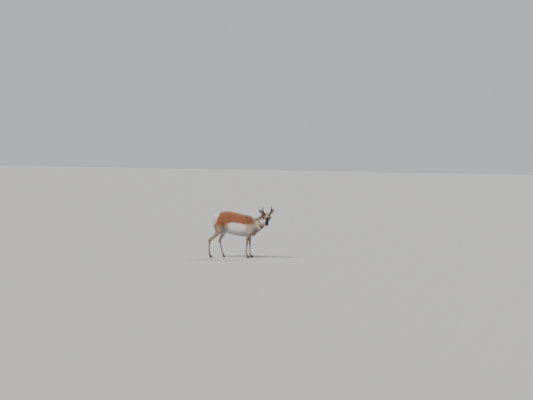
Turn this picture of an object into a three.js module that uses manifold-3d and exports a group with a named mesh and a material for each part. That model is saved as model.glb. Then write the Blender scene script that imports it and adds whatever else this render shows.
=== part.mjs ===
// A pronghorn buck, life size: standing in profile, its head turned to its right side.
// Millimetres, +Z up, +X towards the chest, +Y to the animal's left. The soles stand at z = 0.
// The flesh is one smooth field, negative inside. It is wrapped in a surface and parted with thin cuts.
import * as THREE from "three";
import { mergeVertices } from "three/addons/utils/BufferGeometryUtils.js";
import Module from "manifold-3d";

const wasm = await Module();
wasm.setup();

// Driving dimensions.
const GAP = 0.3; // between pieces that touch
const RUMP_X = -430;
const CHEST_X = 466;
const SHOULDER_JOINT = { x: 398, y: 84, z: 616 };
const ELBOW_Z = 490;
const CARPUS_Z = 292;
const FETLOCK_Z = 90;
const CORONET_Z = 45;
const HIP_JOINT = { x: -285, y: 66, z: 762 };
const HOCK_Z = 332;
const HEAD_LENGTH = 296;
const HEAD_PITCH = 43 * (Math.PI / 180); // nose below the horizontal
const EYE_RADIUS = 22.5;
const EAR_LENGTH = 176;
const HORN_LENGTH = 188;
const TAIL_LENGTH = 118;
const MANE_LENGTH = 68;
const HOOF_LENGTH = 66;

// Where each leg stands: the two sides differ, because the buck has paused in mid stride.
const SIDES = { right: -1, left: 1 };
const FORE_LEGS = {
  right: { elbow: 284, carpus: 264, fetlock: 256, coronet: 280, spread: 80 },
  left: { elbow: 312, carpus: 320, fetlock: 326, coronet: 351, spread: 80 },
};
const HIND_LEGS = {
  right: { stifle: [-258, 540], hock: -484, fetlock: -489, coronet: -466 },
  left: { stifle: [-166, 566], hock: -284, fetlock: -232, coronet: -207 },
};
const HIND_SPREAD = 86;

const clamp = (v, low, high) => Math.min(Math.max(v, low), high);
const mix = (a, b, t) => a + (b - a) * t;
const vec = (x, y, z) => new THREE.Vector3(x, y, z);

// Joins two fields, rounding the valley between them over a width of about k.
function blend(a, b, k) {
  const h = Math.max(k - Math.abs(a - b), 0) / k;
  return Math.min(a, b) - (h * h * k) / 4;
}

// Distance to a chain of balls [x, y, z, radius] joined by cones; flat < 1 narrows it across y.
function chain(knots, flat = 1) {
  return (x, y, z) => {
    let least = Infinity;
    for (let i = 0; i + 1 < knots.length; i++) {
      const [ax, ay, az, ar] = knots[i];
      const [bx, by, bz, br] = knots[i + 1];
      const dx = bx - ax;
      const dy = (by - ay) / flat;
      const dz = bz - az;
      const px = x - ax;
      const py = (y - ay) / flat;
      const pz = z - az;
      const t = clamp((px * dx + py * dy + pz * dz) / (dx * dx + dy * dy + dz * dz), 0, 1);
      const away = Math.hypot(px - dx * t, py - dy * t, pz - dz * t);
      least = Math.min(least, away - mix(ar, br, t));
    }
    return least;
  };
}

// Distance, near enough, to an ellipsoid.
function ellipsoid([cx, cy, cz], [rx, ry, rz]) {
  const least = Math.min(rx, ry, rz);
  return (x, y, z) => {
    const q = Math.hypot((x - cx) / rx, (y - cy) / ry, (z - cz) / rz);
    return q < 1 ? (q - 1) * least : Math.hypot(x - cx, y - cy, z - cz) * (1 - 1 / q);
  };
}

// A smooth value between rows of a table, at place s of its first column.
function between(rows, s, column) {
  const last = rows.length - 1;
  let i = 0;
  while (i < last - 1 && s > rows[i + 1][0]) i++;
  const t = clamp((s - rows[i][0]) / (rows[i + 1][0] - rows[i][0]), 0, 1);
  const slope = (k) => {
    const low = Math.max(k - 1, 0);
    const high = Math.min(k + 1, last);
    return (rows[high][column] - rows[low][column]) / (rows[high][0] - rows[low][0]);
  };
  const span = rows[i + 1][0] - rows[i][0];
  const t2 = t * t;
  const t3 = t2 * t;
  return (
    (2 * t3 - 3 * t2 + 1) * rows[i][column] +
    (t3 - 2 * t2 + t) * span * slope(i) +
    (3 * t2 - 2 * t3) * rows[i + 1][column] +
    (t3 - t2) * span * slope(i + 1)
  );
}

// A barrel along the first axis with egg-shaped sections. A row of the table is
// [place, top, bottom, half width, height of the widest point].
function barrel(rows, above, below) {
  const first = rows[0][0];
  const last = rows[rows.length - 1][0];
  return (s, across, up) => {
    const at = clamp(s, first, last);
    const wide = between(rows, at, 4);
    const half = between(rows, at, 3);
    const over = up > wide;
    const height = over ? between(rows, at, 1) - wide : wide - between(rows, at, 2);
    const power = over ? above : below;
    const a = Math.abs(across) / half;
    const b = Math.abs(up - wide) / height;
    const q = Math.max((a ** power + b ** power) ** (1 / power), 1e-6);
    const radial = Math.hypot(across, up - wide) * (1 - 1 / q);
    const beyond = Math.abs(s - at);
    return beyond > 0 ? Math.hypot(Math.max(radial, 0), beyond) : Math.max(radial, first - s, s - last);
  };
}

// The trunk without its limbs, from rump to chest.
const TRUNK = barrel(
  [
    [RUMP_X, 796, 738, 22, 768],
    [-404, 832, 690, 66, 764],
    [-330, 886, 600, 98, 768],
    [-225, 926, 535, 112, 752],
    [-110, 936, 488, 121, 712],
    [20, 916, 455, 137, 672],
    [150, 884, 436, 140, 645],
    [270, 856, 433, 124, 632],
    [360, 822, 442, 98, 610],
    [425, 750, 464, 76, 592],
    [CHEST_X, 664, 530, 30, 596],
  ],
  2.15,
  2.2,
);

// Crest and throat of the neck, which bends to the right as it rises.
const CREST = [
  [325, 0, 772, 58],
  [425, 0, 696, 62],
  [502, -16, 703, 55],
  [562, -52, 771, 50],
  [608, -102, 835, 46],
  [642, -150, 874, 43],
];
const THROAT = [
  [392, 0, 566, 88],
  [472, -10, 612, 79],
  [546, -40, 668, 66],
  [602, -92, 730, 56],
  [636, -146, 782, 50],
];

// The head has its own axes: along towards the nose, left, and up out of the forehead.
const HEAD = {
  origin: vec(657, -165, 886),
  along: vec(0, -Math.cos(HEAD_PITCH), -Math.sin(HEAD_PITCH)),
  left: vec(1, 0, 0),
  up: vec(0, -Math.sin(HEAD_PITCH), Math.cos(HEAD_PITCH)),
};
const headMatrix = new THREE.Matrix4()
  .makeBasis(HEAD.along, HEAD.left, HEAD.up)
  .setPosition(HEAD.origin);
const intoHead = headMatrix.clone().invert();
const fromHead = (along, left, up) => vec(along, left, up).applyMatrix4(headMatrix);

const SKULL = barrel(
  [
    [0, 40, -60, 50, -6],
    [35, 60, -82, 58, 0],
    [75, 67, -90, 60, 4],
    [108, 62, -86, 57, 6],
    [145, 51, -76, 44, -8],
    [180, 41, -67, 35.5, -17],
    [215, 32, -60, 31, -16],
    [250, 24.5, -53, 28.5, -13],
    [272, 16, -46, 25, -14],
    [287, 4, -36, 18, -16],
    [HEAD_LENGTH, -10, -22, 6, -16],
  ],
  2.15,
  2.1,
);
const EYE = { along: 105, out: 54, up: 25 };
const BROW = 26.8; // radius of the lids and brow over the eyeball

function headField() {
  const parts = [];
  for (const s of [1, -1]) {
    parts.push([chain([[EYE.along, s * EYE.out, EYE.up, BROW]].concat([[88, s * 40, 34, 26]])), 16]);
    parts.push([ellipsoid([92, s * 40, -42], [48, 22, 40]), 18]); // chewing muscle
    parts.push([chain([[120, s * 50, 4, 15], [176, s * 30, -18, 12]]), 16]); // cheek bone
    parts.push([ellipsoid([276, s * 14.5, -3], [15, 10.5, 11.5]), 9]); // wing of the nostril
    parts.push([chain([[284, s * 8, -24, 11], [232, s * 21, -30, 11]]), 8]); // upper lip
  }
  parts.push([chain([[274, 0, -40, 12], [236, 0, -46, 15]]), 10]); // lower lip and chin
  parts.push([ellipsoid([60, 0, 58], [44, 34, 14]), 24]); // hair of the forehead
  return (along, left, up) => {
    let d = SKULL(along, left, up);
    for (const [part, k] of parts) d = blend(d, part(along, left, up), k);
    return d;
  };
}
const headOnly = headField();

function foreLegChains(side) {
  const s = SIDES[side];
  const { elbow, carpus, fetlock, coronet, spread } = FORE_LEGS[side];
  const shoulder = SHOULDER_JOINT;
  const y = s * spread;
  return {
    blade: chain([
      [336, s * 46, 782, 34],
      [shoulder.x, s * (shoulder.y - 8), shoulder.z + 8, 55],
    ]),
    arm: chain([
      [shoulder.x, s * shoulder.y, shoulder.z, 58],
      [elbow, y, ELBOW_Z + 4, 45],
    ]),
    triceps: chain([
      [elbow + 34, s * 78, 652, 60],
      [elbow - 2, y, ELBOW_Z + 26, 44],
    ]),
    shaft: chain(
      [
        [elbow, y, ELBOW_Z, 45],
        [mix(elbow, carpus, 0.28), y, mix(ELBOW_Z, CARPUS_Z, 0.28), 38],
        [mix(elbow, carpus, 0.65), y, mix(ELBOW_Z, CARPUS_Z, 0.65), 26.5],
        [carpus + 1, y, CARPUS_Z + 22, 21.5],
        [carpus + 2, y, CARPUS_Z + 4, 24],
        [carpus + 1, y, CARPUS_Z - 18, 22],
        [carpus - 1, y, CARPUS_Z - 42, 17],
        [mix(carpus, fetlock, 0.55), y, mix(CARPUS_Z, FETLOCK_Z, 0.55), 14.2],
        [fetlock, y, FETLOCK_Z + 24, 15.5],
        [fetlock - 1, y, FETLOCK_Z, 19.5],
        [mix(fetlock, coronet, 0.55), y, mix(FETLOCK_Z, CORONET_Z, 0.55), 16.5],
        [coronet, y, CORONET_Z, 18.5],
        [coronet + 8, y, CORONET_Z - 16, 18.5],
      ],
      0.82,
    ),
  };
}

function hindLegChains(side) {
  const s = SIDES[side];
  const { stifle, hock, fetlock, coronet } = HIND_LEGS[side];
  const [kneeX, kneeZ] = stifle;
  const hip = HIP_JOINT;
  const y = s * HIND_SPREAD;
  const heel = [mix(hock, kneeX, -0.12), y, HOCK_Z + 34]; // point of the hock
  return {
    thigh: chain([
      [hip.x + 10, s * hip.y, hip.z, 86],
      [mix(hip.x, kneeX, 0.6), s * 78, mix(hip.z, kneeZ, 0.55), 68],
      [kneeX, y, kneeZ, 48],
    ]),
    rump: chain([
      [-372, s * 52, 770, 50],
      [-374, s * 60, 700, 50],
      [mix(-366, kneeX - 56, 0.5), s * 76, mix(690, kneeZ, 0.55), 56],
      [mix(kneeX - 44, hock, 0.2), y, mix(kneeZ, HOCK_Z, 0.22), 40],
    ]),
    tendon: chain(
      [
        [mix(kneeX - 30, hock, 0.3), y, mix(kneeZ, HOCK_Z, 0.3), 34],
        [mix(kneeX - 14, heel[0], 0.68), y, mix(kneeZ - 12, heel[2], 0.68), 19],
        [heel[0], y, heel[2], 12.5],
        [hock - 6, y, HOCK_Z - 4, 17],
      ],
      0.75,
    ),
    shaft: chain(
      [
        [kneeX, y, kneeZ, 48],
        [mix(kneeX, hock, 0.35), y, mix(kneeZ, HOCK_Z, 0.35), 36],
        [mix(kneeX, hock, 0.75), y, mix(kneeZ, HOCK_Z, 0.75), 23],
        [hock + 2, y, HOCK_Z + 6, 23.5],
        [hock + 1, y, HOCK_Z - 22, 22],
        [mix(hock, fetlock, 0.25), y, mix(HOCK_Z, FETLOCK_Z, 0.25), 17.5],
        [mix(hock, fetlock, 0.6), y, mix(HOCK_Z, FETLOCK_Z, 0.6), 15],
        [fetlock, y, FETLOCK_Z + 24, 16.2],
        [fetlock - 1, y, FETLOCK_Z, 20],
        [mix(fetlock, coronet, 0.55), y, mix(FETLOCK_Z, CORONET_Z, 0.55), 17],
        [coronet, y, CORONET_Z, 18.5],
        [coronet + 8, y, CORONET_Z - 16, 18.5],
      ],
      0.8,
    ),
  };
}

const foreChains = { right: foreLegChains("right"), left: foreLegChains("left") };
const hindChains = { right: hindLegChains("right"), left: hindLegChains("left") };
const crest = chain(CREST);
const throat = chain(THROAT);
const sheath = chain([
  [-128, 0, 502, 16],
  [-20, 0, 478, 15],
]);
const scrotum = ellipsoid([-222, 0, 522], [27, 23, 36]);

const foreField = (side, x, y, z) => {
  const { blade, arm, triceps, shaft } = foreChains[side];
  const upper = blend(blend(blade(x, y, z), arm(x, y, z), 22), triceps(x, y, z), 22);
  return blend(upper, shaft(x, y, z), 14);
};
const hindField = (side, x, y, z) => {
  const { thigh, rump, tendon, shaft } = hindChains[side];
  const upper = blend(thigh(x, y, z), rump(x, y, z), 36);
  return blend(blend(upper, shaft(x, y, z), 16), tendon(x, y, z), 30);
};

// The whole animal without horns, ears, eyes, tail and hooves.
function flesh(x, y, z) {
  const side = y < 0 ? "right" : "left";
  const neck = blend(crest(x, y, z), throat(x, y, z), 70);
  let d = blend(TRUNK(x, y, z), neck, 46);
  for (const s of ["right", "left"]) {
    const near = s === side ? 1 : 0.35; // keeps the inner sides of a pair of legs apart
    d = blend(d, foreField(s, x, y, z), mix(8, 34, near));
    d = blend(d, hindField(s, x, y, z), mix(8, 42, near));
  }
  d = blend(d, sheath(x, y, z), 18);
  d = blend(d, scrotum(x, y, z), 12);
  const p = vec(x, y, z).applyMatrix4(intoHead);
  return p.x > -80 ? blend(d, headOnly(p.x, p.y, p.z), 26) : d;
}

// Turns a geometry into a solid for cutting and joining, and a solid back into a geometry.
function solid(geometry) {
  const bare = geometry.clone();
  for (const name of Object.keys(bare.attributes)) {
    if (name !== "position") bare.deleteAttribute(name);
  }
  const merged = mergeVertices(bare, 1e-4);
  return new wasm.Manifold(
    new wasm.Mesh({
      numProp: 3,
      vertProperties: new Float32Array(merged.attributes.position.array),
      triVerts: new Uint32Array(merged.index.array),
    }),
  );
}

function geometryOf(made) {
  const mesh = made.getMesh();
  const geometry = new THREE.BufferGeometry();
  geometry.setAttribute("position", new THREE.BufferAttribute(mesh.vertProperties, 3));
  geometry.setIndex(new THREE.BufferAttribute(mesh.triVerts, 1));
  return geometry;
}

// The largest closed surface of a solid.
function largest(made) {
  const bodies = made.decompose().filter((body) => body.volume() > 0);
  return bodies.reduce((a, b) => (a.volume() > b.volume() ? a : b));
}

// Wraps a surface round the space inside a box where the field is negative, one vertex to a cell.
function wrap(field, low, high, cell) {
  const edge = (x, y, z) =>
    Math.max(low[0] - x, x - high[0], low[1] - y, y - high[1], low[2] - z, z - high[2]) + 0.5;
  const boxed = (x, y, z) => Math.max(field(x, y, z), edge(x, y, z));
  const count = low.map((v, i) => Math.ceil((high[i] - v) / cell[i]) + 3);
  const place = (i, k) => low[k] + (i - 1) * cell[k];
  const index = (i, j, k) => (k * count[1] + j) * count[0] + i;
  const value = new Float64Array(count[0] * count[1] * count[2]);
  for (let k = 0; k < count[2]; k++) {
    for (let j = 0; j < count[1]; j++) {
      for (let i = 0; i < count[0]; i++) {
        value[index(i, j, k)] = boxed(place(i, 0), place(j, 1), place(k, 2));
      }
    }
  }
  const onSurface = (point) => {
    const step = 0.5;
    for (let pass = 0; pass < 4; pass++) {
      const [x, y, z] = point;
      const d = boxed(x, y, z);
      const slope = [
        boxed(x + step, y, z) - boxed(x - step, y, z),
        boxed(x, y + step, z) - boxed(x, y - step, z),
        boxed(x, y, z + step) - boxed(x, y, z - step),
      ].map((v) => v / (2 * step));
      const size = Math.max(slope[0] ** 2 + slope[1] ** 2 + slope[2] ** 2, 0.05);
      for (let a = 0; a < 3; a++) {
        point[a] -= clamp((d * slope[a]) / size, -cell[a] * 0.3, cell[a] * 0.3);
      }
    }
    return point;
  };
  const vertexOf = new Int32Array(value.length).fill(-1);
  const vertices = [];
  for (let k = 0; k + 1 < count[2]; k++) {
    for (let j = 0; j + 1 < count[1]; j++) {
      for (let i = 0; i + 1 < count[0]; i++) {
        const sum = [0, 0, 0];
        let crossings = 0;
        for (let axis = 0; axis < 3; axis++) {
          for (let corner = 0; corner < 4; corner++) {
            const from = [i, j, k];
            from[(axis + 1) % 3] += corner & 1;
            from[(axis + 2) % 3] += corner >> 1;
            const to = from.slice();
            to[axis] += 1;
            const a = value[index(...from)];
            const b = value[index(...to)];
            if (a < 0 === b < 0) continue;
            crossings++;
            for (let c = 0; c < 3; c++) sum[c] += mix(place(from[c], c), place(to[c], c), a / (a - b));
          }
        }
        if (!crossings) continue;
        vertexOf[index(i, j, k)] = vertices.length;
        vertices.push(onSurface(sum.map((v) => v / crossings)));
      }
    }
  }
  const faces = [];
  for (let k = 1; k + 1 < count[2]; k++) {
    for (let j = 1; j + 1 < count[1]; j++) {
      for (let i = 1; i + 1 < count[0]; i++) {
        for (let axis = 0; axis < 3; axis++) {
          const to = [i, j, k];
          to[axis] += 1;
          const inside = value[index(i, j, k)] < 0;
          if (inside === value[index(...to)] < 0) continue;
          const corners = [
            [0, 0],
            [1, 0],
            [1, 1],
            [0, 1],
          ].map(([a, b]) => {
            const cellAt = [i, j, k];
            cellAt[(axis + 1) % 3] -= a;
            cellAt[(axis + 2) % 3] -= b;
            return vertexOf[index(...cellAt)];
          });
          if (!inside) corners.reverse();
          faces.push(...shorterDiagonal(corners, vertices));
        }
      }
    }
  }
  return closedGeometry(vertices, faces);
}

// Splits a four-sided face along its shorter diagonal.
function shorterDiagonal([a, b, c, d], vertices) {
  const gap = (i, j) => Math.hypot(...vertices[i].map((v, k) => v - vertices[j][k]));
  return gap(a, c) < gap(b, d) ? [a, b, c, a, c, d] : [a, b, d, b, c, d];
}

function closedGeometry(vertices, faces) {
  const geometry = new THREE.BufferGeometry();
  geometry.setAttribute("position", new THREE.Float32BufferAttribute(vertices.flat(), 3));
  geometry.setIndex(faces);
  return geometry;
}

// Skins a row of rings of equally many points. Each end is closed by a strip, or drawn to a tip.
function loft(rings, tip) {
  const sides = rings[0].length;
  const vertices = rings.flat().map((p) => [p.x, p.y, p.z]);
  const faces = [];
  for (let r = 0; r + 1 < rings.length; r++) {
    for (let i = 0; i < sides; i++) {
      const a = r * sides + i;
      const b = r * sides + ((i + 1) % sides);
      faces.push(...shorterDiagonal([a, b, b + sides, a + sides], vertices));
    }
  }
  const strip = (start, flip) => {
    for (let i = 0; i + 1 < sides / 2; i++) {
      const [a, b, c, d] = [i, i + 1, sides - 2 - i, sides - 1 - i].map((v) => start + v);
      const quad = flip ? [a, d, c, b] : [a, b, c, d];
      const split = shorterDiagonal(quad, vertices);
      for (let t = 0; t < split.length; t += 3) {
        if (new Set(split.slice(t, t + 3)).size === 3) faces.push(...split.slice(t, t + 3));
      }
    }
  };
  strip(0, true);
  const end = (rings.length - 1) * sides;
  if (tip) {
    vertices.push([tip.x, tip.y, tip.z]);
    for (let i = 0; i < sides; i++) faces.push(end + i, end + ((i + 1) % sides), vertices.length - 1);
  } else {
    strip(end, false);
  }
  const geometry = closedGeometry(vertices, faces);
  const made = solid(geometry);
  if (made.volume() > 0) return made;
  for (let i = 0; i < faces.length; i += 3) [faces[i + 1], faces[i + 2]] = [faces[i + 2], faces[i + 1]];
  return solid(closedGeometry(vertices, faces));
}

// Even numbers from 0 to 1 that vary a row of like pieces, the same at every run.
function draws(seed) {
  let state = seed;
  return () => {
    state = (state * 1664525 + 1013904223) % 4294967296;
    return state / 4294967296;
  };
}

// The direction in which a field rises fastest: straight out of the surface.
function outward(field, p) {
  const h = 1.5;
  return vec(
    field(p.x + h, p.y, p.z) - field(p.x - h, p.y, p.z),
    field(p.x, p.y + h, p.z) - field(p.x, p.y - h, p.z),
    field(p.x, p.y, p.z + h) - field(p.x, p.y, p.z - h),
  ).normalize();
}

// A flat lock of hair. It starts under the surface, follows the coat's lie and lifts towards its tip.
function lock(field, root, lie, { length, width, thick, sunk, lift, turn }) {
  const steps = 4;
  const at = root.clone();
  const heading = lie.clone();
  const place = (t) => {
    const out = outward(field, at);
    heading.addScaledVector(out, -heading.dot(out)).normalize().applyAxisAngle(out, turn / steps);
    const across = new THREE.Vector3().crossVectors(out, heading);
    return { out, across, centre: at.clone().addScaledVector(out, mix(-sunk, lift, Math.sqrt(t))) };
  };
  const rings = [];
  for (let i = 0; i < steps; i++) {
    const t = i / steps;
    const { out, across, centre } = place(t);
    const wide = (width / 2) * Math.sin(mix(0.85, Math.PI * 0.93, t));
    const deep = (thick / 2) * (1 - 0.5 * t);
    rings.push([
      centre.clone().addScaledVector(across, wide).addScaledVector(out, -deep / 2),
      centre.clone().addScaledVector(out, deep),
      centre.clone().addScaledVector(across, -wide).addScaledVector(out, -deep / 2),
    ]);
    at.addScaledVector(heading, length / steps);
    at.addScaledVector(outward(field, at), -field(at.x, at.y, at.z));
  }
  return loft(rings, place(1).centre);
}

// A tube of flesh round a line of knots: each ring is where rays from the line leave the flesh.
function fleshTube(field, knots, firstNormal, lastNormal, spacing, sides, reach) {
  const path = new THREE.CatmullRomCurve3(knots.map(([x, y, z]) => vec(x, y, z)), false, "centripetal");
  const steps = Math.round(path.getLength() / spacing);
  const rings = [];
  for (let i = 0; i <= steps; i++) {
    const t = i / steps;
    const centre = path.getPointAt(t);
    const along = path.getTangentAt(t);
    along.lerp(firstNormal, Math.max(1 - t * steps * 0.25, 0)).normalize();
    along.lerp(lastNormal, Math.max(1 - (1 - t) * steps * 0.25, 0)).normalize();
    const across = vec(0, 1, 0).addScaledVector(along, -along.y).normalize();
    const front = new THREE.Vector3().crossVectors(across, along);
    const ring = [];
    for (let s = 0; s < sides; s++) {
      const turn = ((s + 0.5) / sides) * 2 * Math.PI;
      const ray = front.clone().multiplyScalar(Math.cos(turn)).addScaledVector(across, Math.sin(turn));
      ring.push(leave(field, centre, ray, reach));
    }
    rings.push(ring);
  }
  return loft(rings);
}

// Where a ray from inside the flesh first leaves it.
function leave(field, from, ray, reach) {
  const inside = (r) => field(from.x + ray.x * r, from.y + ray.y * r, from.z + ray.z * r) < 0;
  let low = 0;
  let high = 4;
  while (high < reach && inside(high)) {
    low = high;
    high += 3;
  }
  for (let i = 0; i < 14; i++) {
    const middle = (low + high) / 2;
    if (inside(middle)) low = middle;
    else high = middle;
  }
  return from.clone().addScaledVector(ray, high);
}

// A slab or prism: a smooth closed outline in the side view, pushed out along y.
function sidePrism(outline, from, to) {
  const curve = new THREE.SplineCurve([...outline, outline[0]].map(([x, z]) => new THREE.Vector2(x, z)));
  const shape = new THREE.Shape(curve.getPoints(outline.length * 3).slice(0, -1));
  const geometry = new THREE.ExtrudeGeometry(shape, { depth: Math.abs(to - from), bevelEnabled: false });
  geometry.rotateX(Math.PI / 2).translate(0, Math.max(from, to), 0);
  return solid(geometry);
}

// The half of space that a plane's normal points into, as trimByPlane wants it.
const keepAbove = (made, normal, point, gap = 0) =>
  made.trimByPlane([normal.x, normal.y, normal.z], normal.dot(point) + gap);
const keepBelow = (made, normal, point, gap = 0) => keepAbove(made, normal.clone().negate(), point, gap);

// The parting planes.
const NECK_ROOT = { point: vec(448, 0, 668), normal: vec(0.93, 0, 0.37).normalize() };
const HEAD_ROOT = { point: fromHead(22, 0, -20), normal: vec(0.25, -0.96, -0.1).normalize() };
const FORE_CUT_Z = 430;
const DOWN = vec(0, 0, -1);

function hindCut(side) {
  const { stifle, hock } = HIND_LEGS[side];
  const y = SIDES[side] * HIND_SPREAD;
  const knee = vec(stifle[0], y, stifle[1]);
  const ankle = vec(hock, y, HOCK_Z);
  return { point: knee.clone().lerp(ankle, 0.24), normal: ankle.clone().sub(knee).normalize() };
}

const LIMB_INSIDE = 37; // how far from the middle plane the limbs' inner walls lie
const LIMB_OUTSIDE = 190;

function shoulderPrism(side, grow) {
  const s = SIDES[side];
  const x = FORE_LEGS[side].elbow;
  const outline = [
    [x + 62 + grow, 390],
    [x + 66 + grow, 470 - grow],
    [x + 112 + grow, 508 - grow],
    [SHOULDER_JOINT.x + 58 + grow, 585],
    [SHOULDER_JOINT.x + 44 + grow, 690 + grow],
    [372 + grow, 762 + grow],
    [325, 772 + grow],
    [x - 14 - grow, 700 + grow],
    [x - 42 - grow, 600],
    [x - 60 - grow, 500],
    [x - 64 - grow, 390],
  ];
  return sidePrism(outline, s * (LIMB_INSIDE - grow), s * LIMB_OUTSIDE);
}

function haunchPrism(side, grow) {
  const s = SIDES[side];
  const [x, z] = HIND_LEGS[side].stifle;
  const outline = [
    [x + 74 + grow, z - 150],
    [x + 84 + grow, z - 20],
    [x + 72 + grow, z + 80],
    [mix(x, HIP_JOINT.x, 0.6) + 76 + grow, 728 + grow],
    [HIP_JOINT.x + 20, 806 + grow],
    [-360 - grow, 790 + grow],
    [-420 - grow, 742 + grow],
    [-480 - grow, 690],
    [-500 - grow, 560],
    [-470, 390],
  ];
  return sidePrism(outline, s * (LIMB_INSIDE - grow), s * LIMB_OUTSIDE);
}

// Trunk, shoulders, haunches and neck, parted from one wrapped surface.
function trunkPieces() {
  const low = [-560, -300, 380];
  const high = [700, 180, 960];
  const whole = solid(wrap(flesh, low, high, [30, 25, 27])).simplify(1.3);
  const body = keepBelow(whole, NECK_ROOT.normal, NECK_ROOT.point);
  const pieces = {};
  let torso = body;
  for (const side of ["right", "left"]) {
    const cut = hindCut(side);
    const shoulder = body.intersect(shoulderPrism(side, 0));
    pieces[`shoulder_${side}`] = keepBelow(shoulder, DOWN, vec(0, 0, FORE_CUT_Z));
    pieces[`haunch_${side}`] = keepBelow(body.intersect(haunchPrism(side, 0)), cut.normal, cut.point);
    torso = torso.subtract(shoulderPrism(side, GAP)).subtract(haunchPrism(side, GAP));
  }
  pieces.torso = torso.subtract(tail(GAP));
  const pastNeckRoot = keepAbove(whole, NECK_ROOT.normal, NECK_ROOT.point, GAP);
  pieces.neck = keepBelow(pastNeckRoot, HEAD_ROOT.normal, HEAD_ROOT.point, GAP);
  for (const made of mane()) {
    const clear = keepAbove(made, NECK_ROOT.normal, NECK_ROOT.point, GAP);
    pieces.neck = pieces.neck.add(keepBelow(clear, HEAD_ROOT.normal, HEAD_ROOT.point, GAP));
  }
  return pieces;
}

// The mane: three staggered rows of locks down the nape, from the poll to just before the withers.
function mane() {
  const rows = [-0.62, 0, 0.62]; // turn of each row from the top of the neck
  const inRow = 9;
  const draw = draws(7);
  const line = CREST.slice(2).map(([x, y, z]) => vec(x, y, z));
  const nape = new THREE.CatmullRomCurve3(line, false, "centripetal");
  const locks = [];
  rows.forEach((row, r) => {
    for (let i = 0; i < inRow; i++) {
      const t = clamp((i + 0.33 * r + 0.25 * (draw() - 0.5)) / (inRow - 0.33), 0, 1);
      const centre = nape.getPointAt(t);
      const back = nape.getTangentAt(t).negate();
      const up = vec(0, 0, 1).addScaledVector(back, -back.z).normalize();
      const ray = up.applyAxisAngle(back, row + 0.16 * (draw() - 0.5));
      const size = row ? 0.88 : 1;
      locks.push(
        lock(flesh, leave(flesh, centre, ray, 120), back, {
          length: MANE_LENGTH * size * mix(0.9, 1.1, draw()),
          width: 28,
          thick: 8,
          sunk: 8,
          lift: mix(13, 21, draw()) * size,
          turn: (draw() - 0.5) * 0.5 - 0.18 * Math.sign(row),
        }),
      );
    }
  });
  return locks;
}

// Legs below the elbow and the stifle, down to the top of the hooves.
const CORONET_SLOPE = vec(0.5, 0, -0.866);

function foreLeg(side) {
  const { elbow, carpus, fetlock, coronet, spread } = FORE_LEGS[side];
  const y = SIDES[side] * spread;
  const top = mix(elbow, carpus, (ELBOW_Z - FORE_CUT_Z) / (ELBOW_Z - CARPUS_Z));
  const knots = [
    [top, y, FORE_CUT_Z - GAP],
    [mix(elbow, carpus, 0.65), y, mix(ELBOW_Z, CARPUS_Z, 0.65)],
    [carpus, y, CARPUS_Z],
    [mix(carpus, fetlock, 0.5), y, mix(CARPUS_Z, FETLOCK_Z, 0.5)],
    [fetlock, y, FETLOCK_Z],
    [coronet, y, CORONET_Z],
  ];
  const field = (px, py, pz) => foreField(side, px, py, pz);
  return fleshTube(field, knots, DOWN, CORONET_SLOPE, 18, 11, 120);
}

function hindLeg(side) {
  const { hock, fetlock, coronet } = HIND_LEGS[side];
  const y = SIDES[side] * HIND_SPREAD;
  const cut = hindCut(side);
  const top = cut.point.clone().addScaledVector(cut.normal, GAP);
  const knots = [
    [top.x, y, top.z],
    [mix(top.x, hock, 0.6), y, mix(top.z, HOCK_Z, 0.6)],
    [hock - 2, y, HOCK_Z + 4],
    [mix(hock, fetlock, 0.3), y, mix(HOCK_Z, FETLOCK_Z, 0.3)],
    [mix(hock, fetlock, 0.65), y, mix(HOCK_Z, FETLOCK_Z, 0.65)],
    [fetlock, y, FETLOCK_Z],
    [coronet, y, CORONET_Z],
  ];
  const field = (px, py, pz) => hindField(side, px, py, pz);
  return fleshTube(field, knots, cut.normal, CORONET_SLOPE, 17.5, 11, 120);
}

// One half of a cloven hoof. Inner and outer halves mirror each other about the leg's own line.
function hoof(coronet, y, hand) {
  const sides = 14;
  const heel = coronet - 17;
  const rings = [0, 0.45, 1].map((level) => {
    const ring = [];
    for (let i = 0; i < sides; i++) {
      const turn = (i / sides) * 2 * Math.PI;
      const front = (1 - Math.cos(turn)) / 2;
      const outer = turn < Math.PI;
      const bulge = Math.abs(Math.sin(turn)) ** 0.8;
      const soleWidth = outer ? 25 * (1 - 0.62 * front ** 2) : -1.5;
      const sole = vec(heel + HOOF_LENGTH * front, 3 + soleWidth * bulge, 0);
      const topX = coronet - 16 + 35 * front;
      const topZ = CORONET_Z - GAP + ((topX - coronet) * CORONET_SLOPE.x) / -CORONET_SLOPE.z;
      const top = vec(topX, 2.5 + (outer ? 15.5 : -1) * bulge, topZ);
      const p = sole.lerp(top, level);
      ring.push(vec(p.x, y + hand * p.y, p.z));
    }
    return ring;
  });
  return loft(rings);
}

// A flattened horn that rises, spreads and hooks in at the tip, with one prong to the front.
const HORN_BASE = { along: 84, out: 45, up: 46 };

function hornPath(s) {
  const base = fromHead(HORN_BASE.along, s * HORN_BASE.out, HORN_BASE.up);
  const spread = [0, 16, 33, 43, 40, 31];
  const forward = [0, 10, 22, 34, 37, 27];
  return new THREE.CatmullRomCurve3(
    spread.map((out, i) => {
      const rise = (i / (spread.length - 1)) * HORN_LENGTH;
      return vec(base.x + s * out, base.y - forward[i], base.z + rise);
    }),
  );
}

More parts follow.
